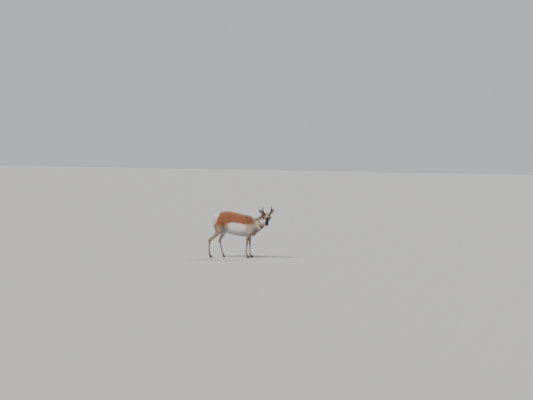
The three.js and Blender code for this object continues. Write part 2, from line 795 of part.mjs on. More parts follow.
function horn(s, grow) {
  const path = hornPath(s);
  const sides = 12;
  const steps = 11;
  const section = (t) => {
    const blade = Math.exp(-(((t - 0.52) / 0.13) ** 2)); // widening that carries the prong
    const taper = Math.max(1 - t, 0) ** 0.56;
    return { front: 5 + 18 * taper + 8 * blade, across: 4.5 + 12.5 * taper };
  };
  const rings = [];
  for (let i = 0; i <= steps; i++) {
    const t = i / steps;
    const along = path.getTangentAt(t);
    const across = vec(s, 0.12, 0).addScaledVector(along, -along.x * s).normalize();
    const front = new THREE.Vector3().crossVectors(along, across).multiplyScalar(s);
    const { front: a, across: b } = section(t);
    const ring = [];
    for (let k = 0; k < sides; k++) {
      const turn = ((k + 0.5) / sides) * 2 * Math.PI;
      ring.push(
        path
          .getPointAt(t)
          .addScaledVector(front, (a + grow) * Math.cos(turn) * (i === steps ? 0.6 : 1))
          .addScaledVector(across, (b + grow) * Math.sin(turn) * (i === steps ? 0.6 : 1)),
      );
    }
    rings.push(ring);
  }
  const tip = path.getPointAt(1).addScaledVector(path.getTangentAt(1), 9);
  const stem = loft(rings, tip);
  if (grow) return stem;
  const root = path.getPointAt(0.52);
  const prong = vec(-0.14 * s, -0.86, 0.5).normalize();
  const prongRings = [0, 0.35, 0.65, 0.88].map((t) => {
    const centre = root.clone().addScaledVector(prong, mix(4, 64, t)).add(vec(0, 0, 12 * t * t));
    const size = 2 + 17 * (1 - t) ** 0.75;
    const ring = [];
    for (let k = 0; k < 8; k++) {
      const turn = ((k + 0.5) / 8) * 2 * Math.PI;
      const up = size * Math.cos(turn);
      ring.push(centre.clone().add(vec(0.5 * size * Math.sin(turn), 0.5 * up, 0.86 * up)));
    }
    return ring;
  });
  const point = root.clone().addScaledVector(prong, 68).add(vec(0, 0, 14));
  return stem.add(loft(prongRings, point));
}

// A leaf-shaped ear with a deep cup that faces the front and the side.
const EAR_ROOT = { along: 29, out: 46, up: 22 };
// Along the ear from root to tip: [place, half width, half the angle that the skin wraps round].
const EAR_SHAPE = [
  [0, 15, 2.75],
  [0.16, 20, 2.35],
  [0.32, 28, 1.75],
  [0.5, 31, 1.4],
  [0.72, 25, 1.1],
  [0.9, 12, 0.85],
  [1, 2.5, 0.6],
];
const EAR_LINE = { right: vec(-132, 17, 103), left: vec(97, 66, 118) };

function ear(s, grow) {
  const root = fromHead(EAR_ROOT.along, s * EAR_ROOT.out, EAR_ROOT.up);
  const along = EAR_LINE[s < 0 ? "right" : "left"].clone().normalize();
  const open = vec(s * 0.15, -1, 0);
  open.addScaledVector(along, -open.dot(along)).normalize();
  const across = new THREE.Vector3().crossVectors(along, open).multiplyScalar(s);
  const steps = grow ? 4 : 10;
  const sides = 8; // points along each of the two skins
  const rings = [];
  for (let i = 0; i <= steps; i++) {
    const t = (i / steps) * (grow ? 0.3 : 1);
    const wrapAngle = between(EAR_SHAPE, t, 2);
    const radius = between(EAR_SHAPE, t, 1) / Math.sin(Math.min(wrapAngle, Math.PI / 2));
    const wall = grow ? radius - 1 : mix(4.5, 1.6, Math.sqrt(t));
    const centre = root.clone().addScaledVector(along, EAR_LENGTH * t);
    centre.addScaledVector(open, radius - EAR_SHAPE[0][1]);
    const at = (k, r) => {
      const angle = mix(-wrapAngle, wrapAngle, k / (sides - 1));
      const p = centre.clone().addScaledVector(across, r * Math.sin(angle));
      return p.addScaledVector(open, -r * Math.cos(angle));
    };
    const ring = [];
    for (let k = 0; k < sides; k++) ring.push(at(k, radius + grow));
    for (let k = sides - 1; k >= 0; k--) {
      const edge = Math.abs((2 * k) / (sides - 1) - 1);
      ring.push(at(k, radius - wall * (1 - 0.5 * edge ** 4)));
    }
    rings.push(ring);
  }
  return loft(rings);
}

const eyeCentre = (s) => fromHead(EYE.along, s * EYE.out, EYE.up);

function eyeBall(s, grow) {
  const ball = new THREE.SphereGeometry(EYE_RADIUS + grow, 14, 9);
  return solid(ball.rotateZ(Math.PI / 2).applyMatrix4(new THREE.Matrix4().setPosition(eyeCentre(s))));
}

// The almond-shaped slit of the lids, as a cone that opens outwards from the eyeball's middle.
function lidSlit(s) {
  const out = vec(0.36, s * 0.92, 0.1).transformDirection(headMatrix);
  const along = vec(1, -s * 0.38, -0.16).transformDirection(headMatrix);
  along.addScaledVector(out, -along.dot(out)).normalize();
  const up = new THREE.Vector3().crossVectors(out, along).multiplyScalar(s);
  const sides = 16;
  const rings = [0.35, 1, 1.7].map((far) => {
    const ring = [];
    for (let i = 0; i < sides; i++) {
      const turn = (i / sides) * 2 * Math.PI;
      const wide = 19.5 * Math.cos(turn);
      const tall = 14 * Math.sin(turn) * (1 - 0.3 * Math.cos(turn) ** 2);
      ring.push(
        eyeCentre(s)
          .addScaledVector(out, EYE_RADIUS * far)
          .addScaledVector(along, wide * far)
          .addScaledVector(up, tall * far),
      );
    }
    return ring;
  });
  return loft(rings);
}

// A raised fold above and behind each eye.
function lidFold(s) {
  const sides = 5;
  const rings = [];
  const count = 9;
  for (let i = 0; i < count; i++) {
    const turn = mix(0.12, 0.95, i / (count - 1)) * Math.PI;
    const along = Math.cos(turn) * 22;
    const up = Math.sin(turn) * 18.5;
    const out = Math.sqrt(Math.max(BROW ** 2 - along ** 2 - up ** 2, 20));
    const centre = vec(EYE.along + along + out * 0.3, s * (EYE.out + out * 0.93), EYE.up + up + 2);
    const size = 1.2 + 2 * Math.sin((i / (count - 1)) * Math.PI);
    const ring = [];
    for (let k = 0; k < sides; k++) {
      const angle = (k / sides) * 2 * Math.PI;
      ring.push(
        vec(
          centre.x + Math.cos(turn) * size * Math.cos(angle),
          centre.y + s * size * Math.sin(angle),
          centre.z + Math.sin(turn) * size * Math.cos(angle),
        ).applyMatrix4(headMatrix),
      );
    }
    rings.push(ring);
  }
  return loft(rings);
}

function nostril(s) {
  const out = vec(0.72, s * 0.66, 0.2).normalize();
  const rim = leave(headOnly, vec(268, s * 7, -6), out, 60);
  const hole = new THREE.SphereGeometry(1, 10, 6).scale(9, 5.5, 4.2);
  hole.rotateY(0.7).rotateZ(-s * 0.75).translate(rim.x - 1, rim.y, rim.z);
  return solid(hole.applyMatrix4(headMatrix));
}

// The mouth: a thin slit right through the muzzle, from the lips to the corners.
function mouthSlit() {
  const line = [
    [305, -31],
    [282, -32],
    [258, -36.5],
    [236, -38],
    [220, -34],
  ];
  const thick = 1.5;
  const outline = [
    ...line.map(([a, u]) => new THREE.Vector2(a, u)),
    ...line.slice(0, -1).reverse().map(([a, u]) => new THREE.Vector2(a, u + thick)),
  ];
  const slab = new THREE.ExtrudeGeometry(new THREE.Shape(outline), { depth: 90, bevelEnabled: false });
  slab.rotateX(Math.PI / 2).translate(0, 45, 0);
  return solid(slab.applyMatrix4(headMatrix));
}

function head() {
  const low = [-60, -96, -150];
  const high = [312, 96, 100];
  const local = (along, left, up) => {
    const p = fromHead(along, left, up);
    return flesh(p.x, p.y, p.z);
  };
  const wrapped = wrap(local, low, high, [9.4, 8.8, 8.8]).applyMatrix4(headMatrix);
  let made = keepAbove(solid(wrapped).simplify(0.4), HEAD_ROOT.normal, HEAD_ROOT.point);
  made = made.subtract(mouthSlit());
  for (const s of [1, -1]) {
    made = made.add(lidFold(s)).subtract(eyeBall(s, GAP)).subtract(lidSlit(s)).subtract(nostril(s));
    made = made.subtract(horn(s, GAP)).subtract(ear(s, GAP));
  }
  return made;
}

// A short flat tail that hangs close to the rump, and the locks down its back and sides.
const TAIL_PATH = [
  [-381, 814],
  [-407, 802],
  [-422, 766],
  [-432, 820 - TAIL_LENGTH],
];
const tailCore = chain(TAIL_PATH.map(([x, z], i) => [x, 0, z, [9, 12, 13.5, 8][i]]), 1.9);

function tailLocks() {
  const draw = draws(3);
  const locks = [];
  for (const [height, turns] of [
    [784, [-0.5, 0.5]],
    [760, [-1, 0, 1]],
    [734, [-0.8, 0, 0.8]],
  ]) {
    for (const turn of turns) {
      const x = between(TAIL_PATH.map(([px, pz]) => [-pz, px]), -height, 1);
      const ray = vec(-Math.cos(turn), Math.sin(turn), 0);
      const shape = { length: mix(42, 52, draw()), width: 19, thick: 6, sunk: 5, lift: mix(3, 6, draw()) };
      const root = leave(tailCore, vec(x, 0, height), ray, 60);
      locks.push(lock(tailCore, root, DOWN, { ...shape, turn: (draw() - 0.5) * 0.3 }));
    }
  }
  return locks;
}

function tail(grow) {
  const path = new THREE.CatmullRomCurve3(TAIL_PATH.map(([x, z]) => vec(x, 0, z)));
  const sides = 10;
  const steps = 7;
  const rings = [];
  for (let i = 0; i <= steps; i++) {
    const t = i / steps;
    const along = path.getTangentAt(t);
    const depth = vec(-along.z, 0, along.x);
    const swell = 0.5 + Math.sin(Math.PI * mix(0.12, 0.9, t));
    const ring = [];
    for (let k = 0; k < sides; k++) {
      const turn = ((k + 0.5) / sides) * 2 * Math.PI;
      const p = path.getPointAt(t);
      p.y += (20 * swell + grow) * Math.cos(turn);
      ring.push(p.addScaledVector(depth, (9.5 * swell + grow) * Math.sin(turn)));
    }
    rings.push(ring);
  }
  const core = loft(rings, path.getPointAt(1).add(vec(0, 0, -16)));
  return grow ? core : tailLocks().reduce((whole, made) => whole.add(made), core);
}

const COLOURS = {
  tan: { color: 0xa4683f, roughness: 0.85 },
  pale: { color: 0xcfc4b4, roughness: 0.85 },
  white: { color: 0xe6e0d6, roughness: 0.9 },
  black: { color: 0x1c1816, roughness: 0.55 },
  eye: { color: 0x0d0a08, roughness: 0.1 },
};
const materials = Object.fromEntries(
  Object.entries(COLOURS).map(([name, look]) => [name, new THREE.MeshStandardMaterial(look)]),
);

const pronghorn = new THREE.Group();

function add(name, made, material) {
  const mesh = new THREE.Mesh(geometryOf(largest(made)), materials[material]);
  mesh.name = name;
  pronghorn.add(mesh);
}

const trunk = trunkPieces();
for (const [name, made] of Object.entries(trunk)) add(name, made, name === "neck" ? "pale" : "tan");
add("head", head(), "tan");
add("tail", tail(0), "white");
for (const side of ["right", "left"]) {
  const s = SIDES[side];
  add(`horn_${side}`, horn(s, 0), "black");
  add(`ear_${side}`, ear(s, 0).subtract(horn(s, GAP)), "tan");
  add(`eye_${side}`, eyeBall(s, 0), "eye");
  add(`fore_leg_${side}`, foreLeg(side), "tan");
  add(`hind_leg_${side}`, hindLeg(side), "tan");
  const feet = {
    fore: { x: FORE_LEGS[side].coronet, y: s * FORE_LEGS[side].spread },
    hind: { x: HIND_LEGS[side].coronet, y: s * HIND_SPREAD },
  };
  for (const [limb, { x, y }] of Object.entries(feet)) {
    add(`hoof_${limb}_${side}_outer`, hoof(x, y, s), "black");
    add(`hoof_${limb}_${side}_inner`, hoof(x, y, -s), "black");
  }
}

// The origin lies on the ground under the middle of the whole.
const box = new THREE.Box3().setFromObject(pronghorn);
const middle = box.getCenter(new THREE.Vector3());
pronghorn.position.set(-middle.x, -middle.y, 0);

export default pronghorn;
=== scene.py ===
"""Skin, coat, mane, horns, eyes and hooves of a life-size pronghorn buck, over its solid model.

Laid out as an add-on and run as a script. Metres, +Z up, +X from rump to chest, +Y to the buck's left.
"""

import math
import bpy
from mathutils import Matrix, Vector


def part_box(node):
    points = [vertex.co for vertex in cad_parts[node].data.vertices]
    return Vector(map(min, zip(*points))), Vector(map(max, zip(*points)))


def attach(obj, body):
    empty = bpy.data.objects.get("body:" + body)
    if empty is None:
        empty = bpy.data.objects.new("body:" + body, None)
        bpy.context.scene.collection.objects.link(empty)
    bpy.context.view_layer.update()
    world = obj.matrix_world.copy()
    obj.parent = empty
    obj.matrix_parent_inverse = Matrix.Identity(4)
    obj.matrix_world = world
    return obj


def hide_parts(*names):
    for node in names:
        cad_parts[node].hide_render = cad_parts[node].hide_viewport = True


bl_info = {
    "name": "Pronghorn Buck",
    "version": (1, 0, 0),
    "blender": (4, 5, 0),
    "location": "View3D > Sidebar > Pronghorn",
    "description": "Dresses the solid model of a pronghorn buck with skin, coat, horns and eyes",
    "category": "Add Mesh",
}

import bpy
import numpy as np
from bpy.props import FloatProperty, FloatVectorProperty, IntProperty, PointerProperty

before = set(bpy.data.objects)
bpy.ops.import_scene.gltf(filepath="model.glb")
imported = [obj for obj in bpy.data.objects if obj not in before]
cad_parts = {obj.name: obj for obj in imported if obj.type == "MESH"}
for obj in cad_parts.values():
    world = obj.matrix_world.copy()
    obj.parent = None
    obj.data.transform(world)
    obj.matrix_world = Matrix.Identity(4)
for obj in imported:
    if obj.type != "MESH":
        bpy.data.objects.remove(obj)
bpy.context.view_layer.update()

SIDES = {"right": -1.0, "left": 1.0}
FLESH = ["torso", "neck", "head", "tail"] + [
    f"{part}_{side}" for part in ("haunch", "shoulder", "hind_leg", "fore_leg", "ear") for side in SIDES
]
LONG_TUFTS = 90000
SHORT_TUFTS = 105000
NAPE_STRANDS = 2600
TAIL_STRANDS = 1800
EAR_STRANDS = 2400
LASHES = 60
PIECE_LIMIT = 196000  # triangles in a piece of the coat
SKIN_LIMIT = 180000  # triangles

# Sizes in metres.
VOXEL = 0.0033  # grid of the skin
HORN_VOXEL = 0.0016
TUFT_CELL = 0.004  # tufts are spread in the order of cells of this size
THIN_COAT = 0.0014  # how deep the skin lies under the shortest hair
LIP_GROOVE = 0.0028
NOSTRIL_DEPTH = 0.006
TEAR_DEPTH = 0.002  # of the fold in front of the eye
EYE_GAP = 0.0003  # between the eyeball and the solid model's
EYE_BULGE = 0.0009
LID_OPENING = (0.0205, 0.0148)  # half its width and height
LID_SLANT = 0.0015  # the front corner of the lids lies this much lower, the rear one higher
RIM_RING = 0.02
RIM_THICKNESS = 0.0015
HAIRLINE = (0.0225, 0.0165)  # half the width and height of the bare place round an eye
HORN_SWELL = 0.0004
HORN_GRAIN = 0.0007
HORN_KNOBS = 0.0011

SHADES = {
    "mottle": (0.19, 0.10, 0.065),
    "haunch": (0.42, 0.33, 0.262),
    "shoulder": (0.58, 0.475, 0.40),
    "shaded_low_flank": (0.50, 0.45, 0.41),
    "inner_leg": (0.57, 0.47, 0.37),
    "outer_leg": (0.47, 0.34, 0.235),
    "front_of_leg": (0.34, 0.235, 0.155),
    "coronet": (0.20, 0.15, 0.12),
    "neck": (0.55, 0.45, 0.375),
    "neck_root": (0.60, 0.50, 0.41),
    "throat": (0.31, 0.215, 0.16),
    "brisket": (0.47, 0.36, 0.285),
    "face": (0.31, 0.235, 0.185),
    "crown": (0.37, 0.285, 0.22),
    "muzzle": (0.135, 0.092, 0.07),
    "nose": (0.012, 0.01, 0.01),
    "lips": (0.03, 0.02, 0.02),
    "eye_ring": (0.06, 0.042, 0.033),
    "ear_back": (0.47, 0.37, 0.29),
    "ear_inside": (0.66, 0.58, 0.51),
    "ear_edge": (0.10, 0.075, 0.06),
    "ear_hair": (0.66, 0.58, 0.50),
    "low_mane": (0.26, 0.165, 0.11),
    "high_mane": (0.105, 0.065, 0.045),
    "lid": (0.014, 0.011, 0.010),
    "rubbed_horn": (0.045, 0.037, 0.032),
    "rubbed_hoof": (0.07, 0.058, 0.05),
    "floor": (0.37, 0.366, 0.36),
    "room": (0.93, 0.95, 1.0),
    "key_light": (1.0, 0.97, 0.93),
    "rim_light": (0.95, 0.97, 1.0),
}


def middle(node):
    """Centre of a solid's box."""
    low, high = (np.array(c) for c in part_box(node))
    return (low + high) / 2


# Places on the animal, in its own frame: the solid model's numbers, in metres.
HEAD_PITCH = math.radians(43)
ALONG = np.array([0, -math.cos(HEAD_PITCH), -math.sin(HEAD_PITCH)])
LEFT = np.array([1.0, 0, 0])
UP = np.array([0, -math.sin(HEAD_PITCH), math.cos(HEAD_PITCH)])
HEAD_AXES = np.array([ALONG, LEFT, UP])
HEAD_PLACE = np.array([0.657, -0.165, 0.886])
HEAD_REACH = 0.36  # the whole head lies nearer to its origin than this
EYES = {side: middle(f"eye_{side}") for side in SIDES}
SHIFT = (EYES["right"] + EYES["left"]) / 2 - 0.105 * ALONG - 0.025 * UP - HEAD_PLACE
EAR_LINE = {"right": np.array([-132.0, 17, 103]), "left": np.array([97.0, 66, 118])}
EAR_LENGTH = 0.176
EAR_MIDDLE = 0.105
FOOT_SIDE = 0.083
FORE_LEGS = {
    "right": [(0.284, 0.49), (0.264, 0.292), (0.256, 0.09), (0.280, 0.045)],
    "left": [(0.312, 0.49), (0.320, 0.292), (0.326, 0.09), (0.351, 0.045)],
}
HIND_LEGS = {
    "right": [(-0.258, 0.54), (-0.484, 0.332), (-0.489, 0.09), (-0.466, 0.045)],
    "left": [(-0.166, 0.566), (-0.284, 0.332), (-0.232, 0.09), (-0.207, 0.045)],
}
CREST = [(0.325, 0, 0.83), (0.425, 0, 0.758), (0.502, -0.016, 0.758), (0.562, -0.052, 0.82),
         (0.608, -0.102, 0.88), (0.642, -0.15, 0.917)]
THROAT = [(0.44, 0, 0.49), (0.52, -0.012, 0.56), (0.6, -0.05, 0.64), (0.655, -0.11, 0.70),
          (0.68, -0.16, 0.755)]
CAMERA_PLACE = (0.626, -30.0, 2.034)
CAMERA_DOWN = 1.65  # degrees below the horizontal
CAMERA_ROLL = -1.0  # degrees


def head_place(along, left, up):
    """A point given along, left of and above the head's origin, in the animal's frame."""
    return HEAD_PLACE + along * ALONG + left * LEFT + up * UP


def into_head(points):
    """Places along, left of and above the head's origin."""
    return (points - HEAD_PLACE) @ HEAD_AXES.T


def past_neck_root(points):
    """How far points lie in front of the plane where the neck leaves the trunk."""
    return (points[:, 0] - 0.448) * 0.93 + (points[:, 2] - 0.668) * 0.37


def nose_pad(head):
    """1 on the edge of the bare nose, less inside it, for places on the head."""
    a, l, u = head.T
    return np.sqrt(((a - 0.291) / 0.018) ** 2 + (l / 0.028) ** 2 + ((u + 0.008) / 0.026) ** 2)


def mouth_line(along):
    """Height of the line of the mouth on the head."""
    return np.interp(along, [0.22, 0.236, 0.258, 0.282, 0.3], [-0.034, -0.038, -0.0365, -0.032, -0.031])


def ear_frame(side):
    """Root, line and opening direction of an ear."""
    s = SIDES[side]
    root = head_place(0.029, s * 0.046, 0.022)
    line = EAR_LINE[side] / np.linalg.norm(EAR_LINE[side])
    opening = np.array([s * 0.15, -1.0, 0])
    opening -= opening.dot(line) * line
    return root, line, opening / np.linalg.norm(opening)


def from_ear(points, side):
    """Distance from the middle of an ear."""
    root, line, _ = ear_frame(side)
    return np.linalg.norm(points - root - line * EAR_MIDDLE, axis=1)


def unit(v):
    """Vectors of length 1."""
    v = np.asarray(v, float)
    return v / np.maximum(np.linalg.norm(v, axis=-1, keepdims=True), 1e-12)


def smooth(x, low, high):
    """0 below low, 1 above high, and a smooth step between."""
    t = np.clip((x - low) / (high - low), 0, 1)
    return t * t * (3 - 2 * t)


def lattice_noise(points, size, seed):
    """Smooth noise from -1 to 1 with features about as large as size."""
    q = points / size
    cell = np.floor(q).astype(np.int64)
    f = q - cell
    f = f * f * (3 - 2 * f)
    total = np.zeros(len(points))
    for corner in range(8):
        step = np.array([corner & 1, (corner >> 1) & 1, (corner >> 2) & 1])
        c = cell + step
        # A hash of the corner gives the noise its value there.
        h = (c[:, 0] * 73856093 ^ c[:, 1] * 19349663 ^ c[:, 2] * 83492791 ^ seed * 2654435761) & 0xFFFFFFFF
        h = (h * 1664525 + 1013904223) & 0xFFFFFFFF
        h = ((h ^ (h >> 15)) * 2246822519) & 0xFFFFFFFF
        value = (h & 0xFFFF) / 32767.5 - 1
        weight = np.prod(np.where(step, f, 1 - f), axis=1)
        total += value * weight
    return total


# Settings that a user would change.
class CoatSettings(bpy.types.PropertyGroup):
    """Tufts, lengths and colours of the coat"""

    long_tufts: IntProperty(name="Body tufts", description="Tufts on trunk and neck", default=LONG_TUFTS,
                            min=1000, max=100000)
    short_tufts: IntProperty(name="Short tufts", description="Tufts on head, ears and legs",
                             default=SHORT_TUFTS, min=1000, max=150000)
    body_length: FloatProperty(name="Body hair", description="Length of the hair on the trunk", default=0.026,
                               min=0.005, max=0.08, unit="LENGTH")
    depth: FloatProperty(name="Depth", description="How far the skin lies under the coat on the trunk",
                         default=0.006, min=0.0, max=0.03, unit="LENGTH")
    rufous: FloatVectorProperty(name="Back", description="Colour of the back and upper sides",
                                default=(0.42, 0.172, 0.09), size=3, min=0, max=1, subtype="COLOR")
    tan: FloatVectorProperty(name="Shoulder", description="Colour of shoulders and topline",
                             default=(0.42, 0.29, 0.19), size=3, min=0, max=1, subtype="COLOR")
    white: FloatVectorProperty(name="White", description="Colour of flanks, belly and rump patch",
                               default=(0.84, 0.80, 0.76), size=3, min=0, max=1, subtype="COLOR")
    mask: FloatVectorProperty(name="Mask", description="Colour of the muzzle's mask and cheek patches",
                              default=(0.020, 0.0155, 0.0135), size=3, min=0, max=1, subtype="COLOR")


class HornSettings(bpy.types.PropertyGroup):
    """Colours of horns, hooves and eyes"""

    horn: FloatVectorProperty(name="Horn", description="Colour of the horns",
                              default=(0.015, 0.0125, 0.0115), size=3, min=0, max=1, subtype="COLOR")
    hoof: FloatVectorProperty(name="Hoof", description="Colour of the hooves",
                              default=(0.022, 0.0185, 0.0165), size=3, min=0, max=1, subtype="COLOR")
    eye: FloatVectorProperty(name="Eye", description="Colour of the iris",
                             default=(0.020, 0.009, 0.005), size=3, min=0, max=1, subtype="COLOR")


class StageSettings(bpy.types.PropertyGroup):
    """Lights and lens"""

    key_strength: FloatProperty(name="Key light", description="Strength of the soft light from above",
                                default=4.7, min=0)
    room_strength: FloatProperty(name="Room light", description="Strength of the light from all round",
                                 default=0.60, min=0)
    lens: FloatProperty(name="Lens", description="Focal length of the camera", default=101.0, min=10,
                        unit="CAMERA")


# Markings: the same functions colour the skin and every tuft. Their numbers are places in metres and
# shares of a shade.
def marking_colours(points, normals):
    """Linear colours of the coat at points in the animal's frame."""
    coat = bpy.context.scene.pronghorn_coat
    colour = np.repeat(np.array(coat.rufous)[None], len(points), 0)
    wobble = 0.012 * lattice_noise(points, size=0.05, seed=3)
    wobble += 0.005 * lattice_noise(points, size=0.016, seed=4)
    speck = lattice_noise(points, size=0.012, seed=5)

    def paint(amount, shade):
        nonlocal colour
        a = np.clip(amount, 0, 1)[:, None]
        colour = colour * (1 - a) + np.asarray(shade) * a

    mark_trunk(paint, points, normals, wobble)
    mark_legs(paint, points, normals, speck)
    mark_neck(paint, points, wobble)
    mark_head(paint, points, wobble)
    for side in SIDES:
        mark_ear(paint, points, normals, side)
    mark_tail(paint, points, normals)
    return np.clip(colour * (1 + 0.07 * speck[:, None]), 0, 1)


def mark_trunk(paint, points, normals, wobble):
    """Rufous back, painted light on the topline, greyish haunch, white flank greyed by painted shade, belly
    and rump patch.
    """
    coat = bpy.context.scene.pronghorn_coat
    rufous, tan, white = (np.array(c) for c in (coat.rufous, coat.tan, coat.white))
    x, y, z = points.T
    side = np.abs(y)
    # Painted light: paler where the coat faces up, as if lit from above. The loin is darker, the withers
    # mottled.
    # Painted highlight: up-facing coat on the back is painted paler tan, as where light from above falls.
    paint(0.8 * smooth(normals[:, 2] + wobble * 4, 0.58, 0.88), tan * 1.1)
    loin = np.exp(-(((x + 0.11) / 0.1) ** 2 + ((z - 0.78) / 0.07) ** 2))
    paint(0.45 * loin, rufous * 0.72)
    withers = smooth(x, 0.19, 0.28) * (1 - smooth(x, 0.41, 0.47)) * smooth(z, 0.66, 0.70)
    spots = smooth(lattice_noise(points, size=0.035, seed=9), -0.1, 0.5)
    paint(withers * (0.35 + 0.55 * spots), SHADES["mottle"])
    # The haunch is greyish tan below the rufous.
    low_edge = 0.66 + 0.05 * smooth(x, -0.22, -0.12)
    low_edge = low_edge + 0.07 * (1 - smooth(x, -0.40, -0.31))
    haunch = (1 - smooth(x, -0.09, -0.05)) * (1 - smooth(z + wobble, low_edge - 0.06, low_edge + 0.03))
    paint(haunch, SHADES["haunch"])
    shoulder = smooth(x + wobble, 0.22, 0.27) * (1 - smooth(z + wobble * 2, 0.655, 0.71))
    paint(shoulder, SHADES["shoulder"])
    # White flank, with painted shade greying it towards the belly.
    edge = 0.712 - 0.030 * smooth(x, 0.05, 0.26) - 0.02 * (1 - smooth(x, -0.12, -0.02))
    flank = (1 - smooth(z + wobble, edge - 0.012, edge + 0.012))
    flank = flank * smooth(x + wobble + (z - 0.6) * 0.12, -0.130, -0.085)
    flank = flank * (1 - smooth(x + wobble, 0.225, 0.275))
    paint(flank, white)
    # Painted shade: the lower flank is greyed where the belly curves away from the light.
    paint(0.55 * flank * (1 - smooth(z, 0.50, 0.62)) * smooth(side, 0.05, 0.11), SHADES["shaded_low_flank"])
    belly = (1 - smooth(z, 0.47, 0.52)) * smooth(-normals[:, 2], 0.3, 0.7) * smooth(x, -0.30, -0.24)
    paint(belly * smooth(z, 0.40, 0.43) * (1 - smooth(x, 0.34, 0.40)), white)
    groin = (1 - smooth(side, 0.05, 0.09)) * (1 - smooth(z, 0.60, 0.66)) * smooth(z, 0.42, 0.46)
    paint(groin * (1 - smooth(x, -0.05, 0.0)), white * 0.95)
    seat = (1 - smooth(x, -0.34, -0.30)) * (1 - smooth(side, 0.035, 0.075)) * smooth(z, 0.50, 0.56)
    paint(seat * (1 - smooth(z, 0.70, 0.74)), white * 0.97)
    rump = np.sqrt(((x + 0.45) / 0.20) ** 2 + (y / 0.175) ** 2 + ((z - 0.815) / 0.165) ** 2)
    paint(1 - smooth(rump + wobble * 6, 0.93, 1.03), white * 1.06)


def mark_legs(paint, points, normals, speck):
    """Legs tan outside, pale inside and dark above the hooves."""
    y, z = points[:, 1], points[:, 2]
    leg = 1 - smooth(z, 0.40, 0.50)
    foot_y = np.where(y > 0, FOOT_SIDE, -FOOT_SIDE)
    outer = smooth((y - foot_y) * np.sign(foot_y), -0.016, 0.004)
    paint(leg, SHADES["inner_leg"])
    paint(leg * outer, SHADES["outer_leg"])
    paint(leg * smooth(normals[:, 0], 0.2, 1.0) * 0.3, SHADES["front_of_leg"])
    paint(1 - smooth(z + speck * 0.006, 0.05, 0.075), SHADES["coronet"])


def mark_neck(paint, points, wobble):
    """Pale pinkish tan neck, with brown and white bands across the throat."""
    white = np.array(bpy.context.scene.pronghorn_coat.white)
    x, _, z = points.T
    on_neck = smooth(past_neck_root(points) + wobble, -0.05, 0.03)
    paint(on_neck, SHADES["neck"])
    paint(on_neck * np.exp(-(((x - 0.47) / 0.05) ** 2 + ((z - 0.70) / 0.035) ** 2)), SHADES["neck_root"])
    crest, _ = nearest_on(points, CREST)
    throat, down_throat = nearest_on(points, THROAT)
    under = smooth(crest - throat, -0.05, 0.04) * on_neck
    t = down_throat + wobble * 4
    paint(under, SHADES["throat"])
    for low, high in ((0.22, 0.40), (0.60, 0.80)):
        band = smooth(t, low - 0.035, low + 0.02) * (1 - smooth(t, high - 0.02, high + 0.035))
        paint(0.7 * under * band, white)
    brisket = smooth(x, 0.36, 0.42) * (1 - smooth(z, 0.54, 0.60)) * smooth(z, 0.42, 0.46) * (1 - on_neck)
    paint(0.6 * brisket, SHADES["brisket"])


def mark_head(paint, points, wobble):
    """Grey-brown crown, white cheeks, black mask, jaw patches, nose and lips."""
    coat = bpy.context.scene.pronghorn_coat
    white, mask = np.array(coat.white), np.array(coat.mask)
    head = into_head(points)
    a, l, u = head.T
    side = np.abs(l)
    face = smooth(a - 0.35 * np.minimum(u, 0), -0.005, 0.03) * (side < 0.12) * (a < 0.32) * (u > -0.15)
    paint(face, SHADES["face"])
    crown = face * smooth(u, 0.03, 0.06) * (1 - smooth(a, 0.07, 0.12))
    paint(0.75 * crown, SHADES["crown"])
    paint(0.7 * face * smooth(a + wobble, 0.10, 0.15), SHADES["muzzle"])
    cheek_top = np.interp(a, [0.02, 0.08, 0.12, 0.16, 0.2, 0.25, 0.3],
                          [-0.045, -0.026, -0.006, 0.008, 0.005, -0.008, -0.022])
    height = u + wobble * 0.5 + 0.25 * (0.045 - side)
    cheek = smooth(a + wobble, 0.03, 0.06) * (1 - smooth(height, cheek_top - 0.006, cheek_top + 0.006))
    paint(face * cheek, white * 0.97)
    half = np.interp(a, [0.13, 0.17, 0.21, 0.25, 0.29], [0.008, 0.025, 0.030, 0.0335, 0.036])
    strip = 1 - smooth(side + wobble * 0.3, half - 0.004, half + 0.005)
    paint(face * strip * smooth(a + wobble, 0.125, 0.165) * smooth(u, -0.034, -0.026), mask)
    jaw = np.sqrt(((a - 0.045) / 0.045) ** 2 + ((side - 0.055) / 0.03) ** 2 + ((u + 0.062) / 0.034) ** 2)
    paint(1 - smooth(jaw + wobble * 8, 0.85, 1.1), mask * 1.2)
    paint(1 - smooth(nose_pad(head), 0.8, 1.05), SHADES["nose"])
    mouth = np.abs(u - mouth_line(a))
    paint(smooth(a, 0.215, 0.23) * (1 - smooth(mouth, 0.001, 0.0028)) * face, SHADES["lips"])
    for s in (-1, 1):
        ring = np.sqrt(((a - 0.105) / 0.034) ** 2 + ((u - 0.025) / 0.027) ** 2) + (l * s < 0.03) * 9
        paint(0.8 * (1 - smooth(ring, 0.75, 1.0)) * face, SHADES["eye_ring"])


def mark_ear(paint, points, normals, side):
    """An ear, tan outside, pale inside, dark towards the edge and the tip."""
    a, l, _ = into_head(points).T
    root, line, opening = ear_frame(side)
    q = points - root
    t = q @ line / EAR_LENGTH
    away = np.linalg.norm(q - (q @ line)[:, None] * line, axis=1)
    on_ear = smooth(t, 0.10, 0.20) * (away < 0.05) * (t < 1.1) * (l * SIDES[side] > 0.02) * (a < 0.09)
    inside = smooth(normals @ opening, 0.05, 0.45)
    paint(on_ear, SHADES["ear_back"])
    paint(on_ear * inside, SHADES["ear_inside"])
    half = np.interp(t, [0, 0.3, 0.5, 0.75, 1], [0.015, 0.027, 0.031, 0.022, 0.003])
    across = np.abs((q @ np.cross(line, opening))) / half
    paint(on_ear * (0.6 * smooth(across, 0.93, 1.05) + 0.6 * smooth(t, 0.92, 1.02)), SHADES["ear_edge"])


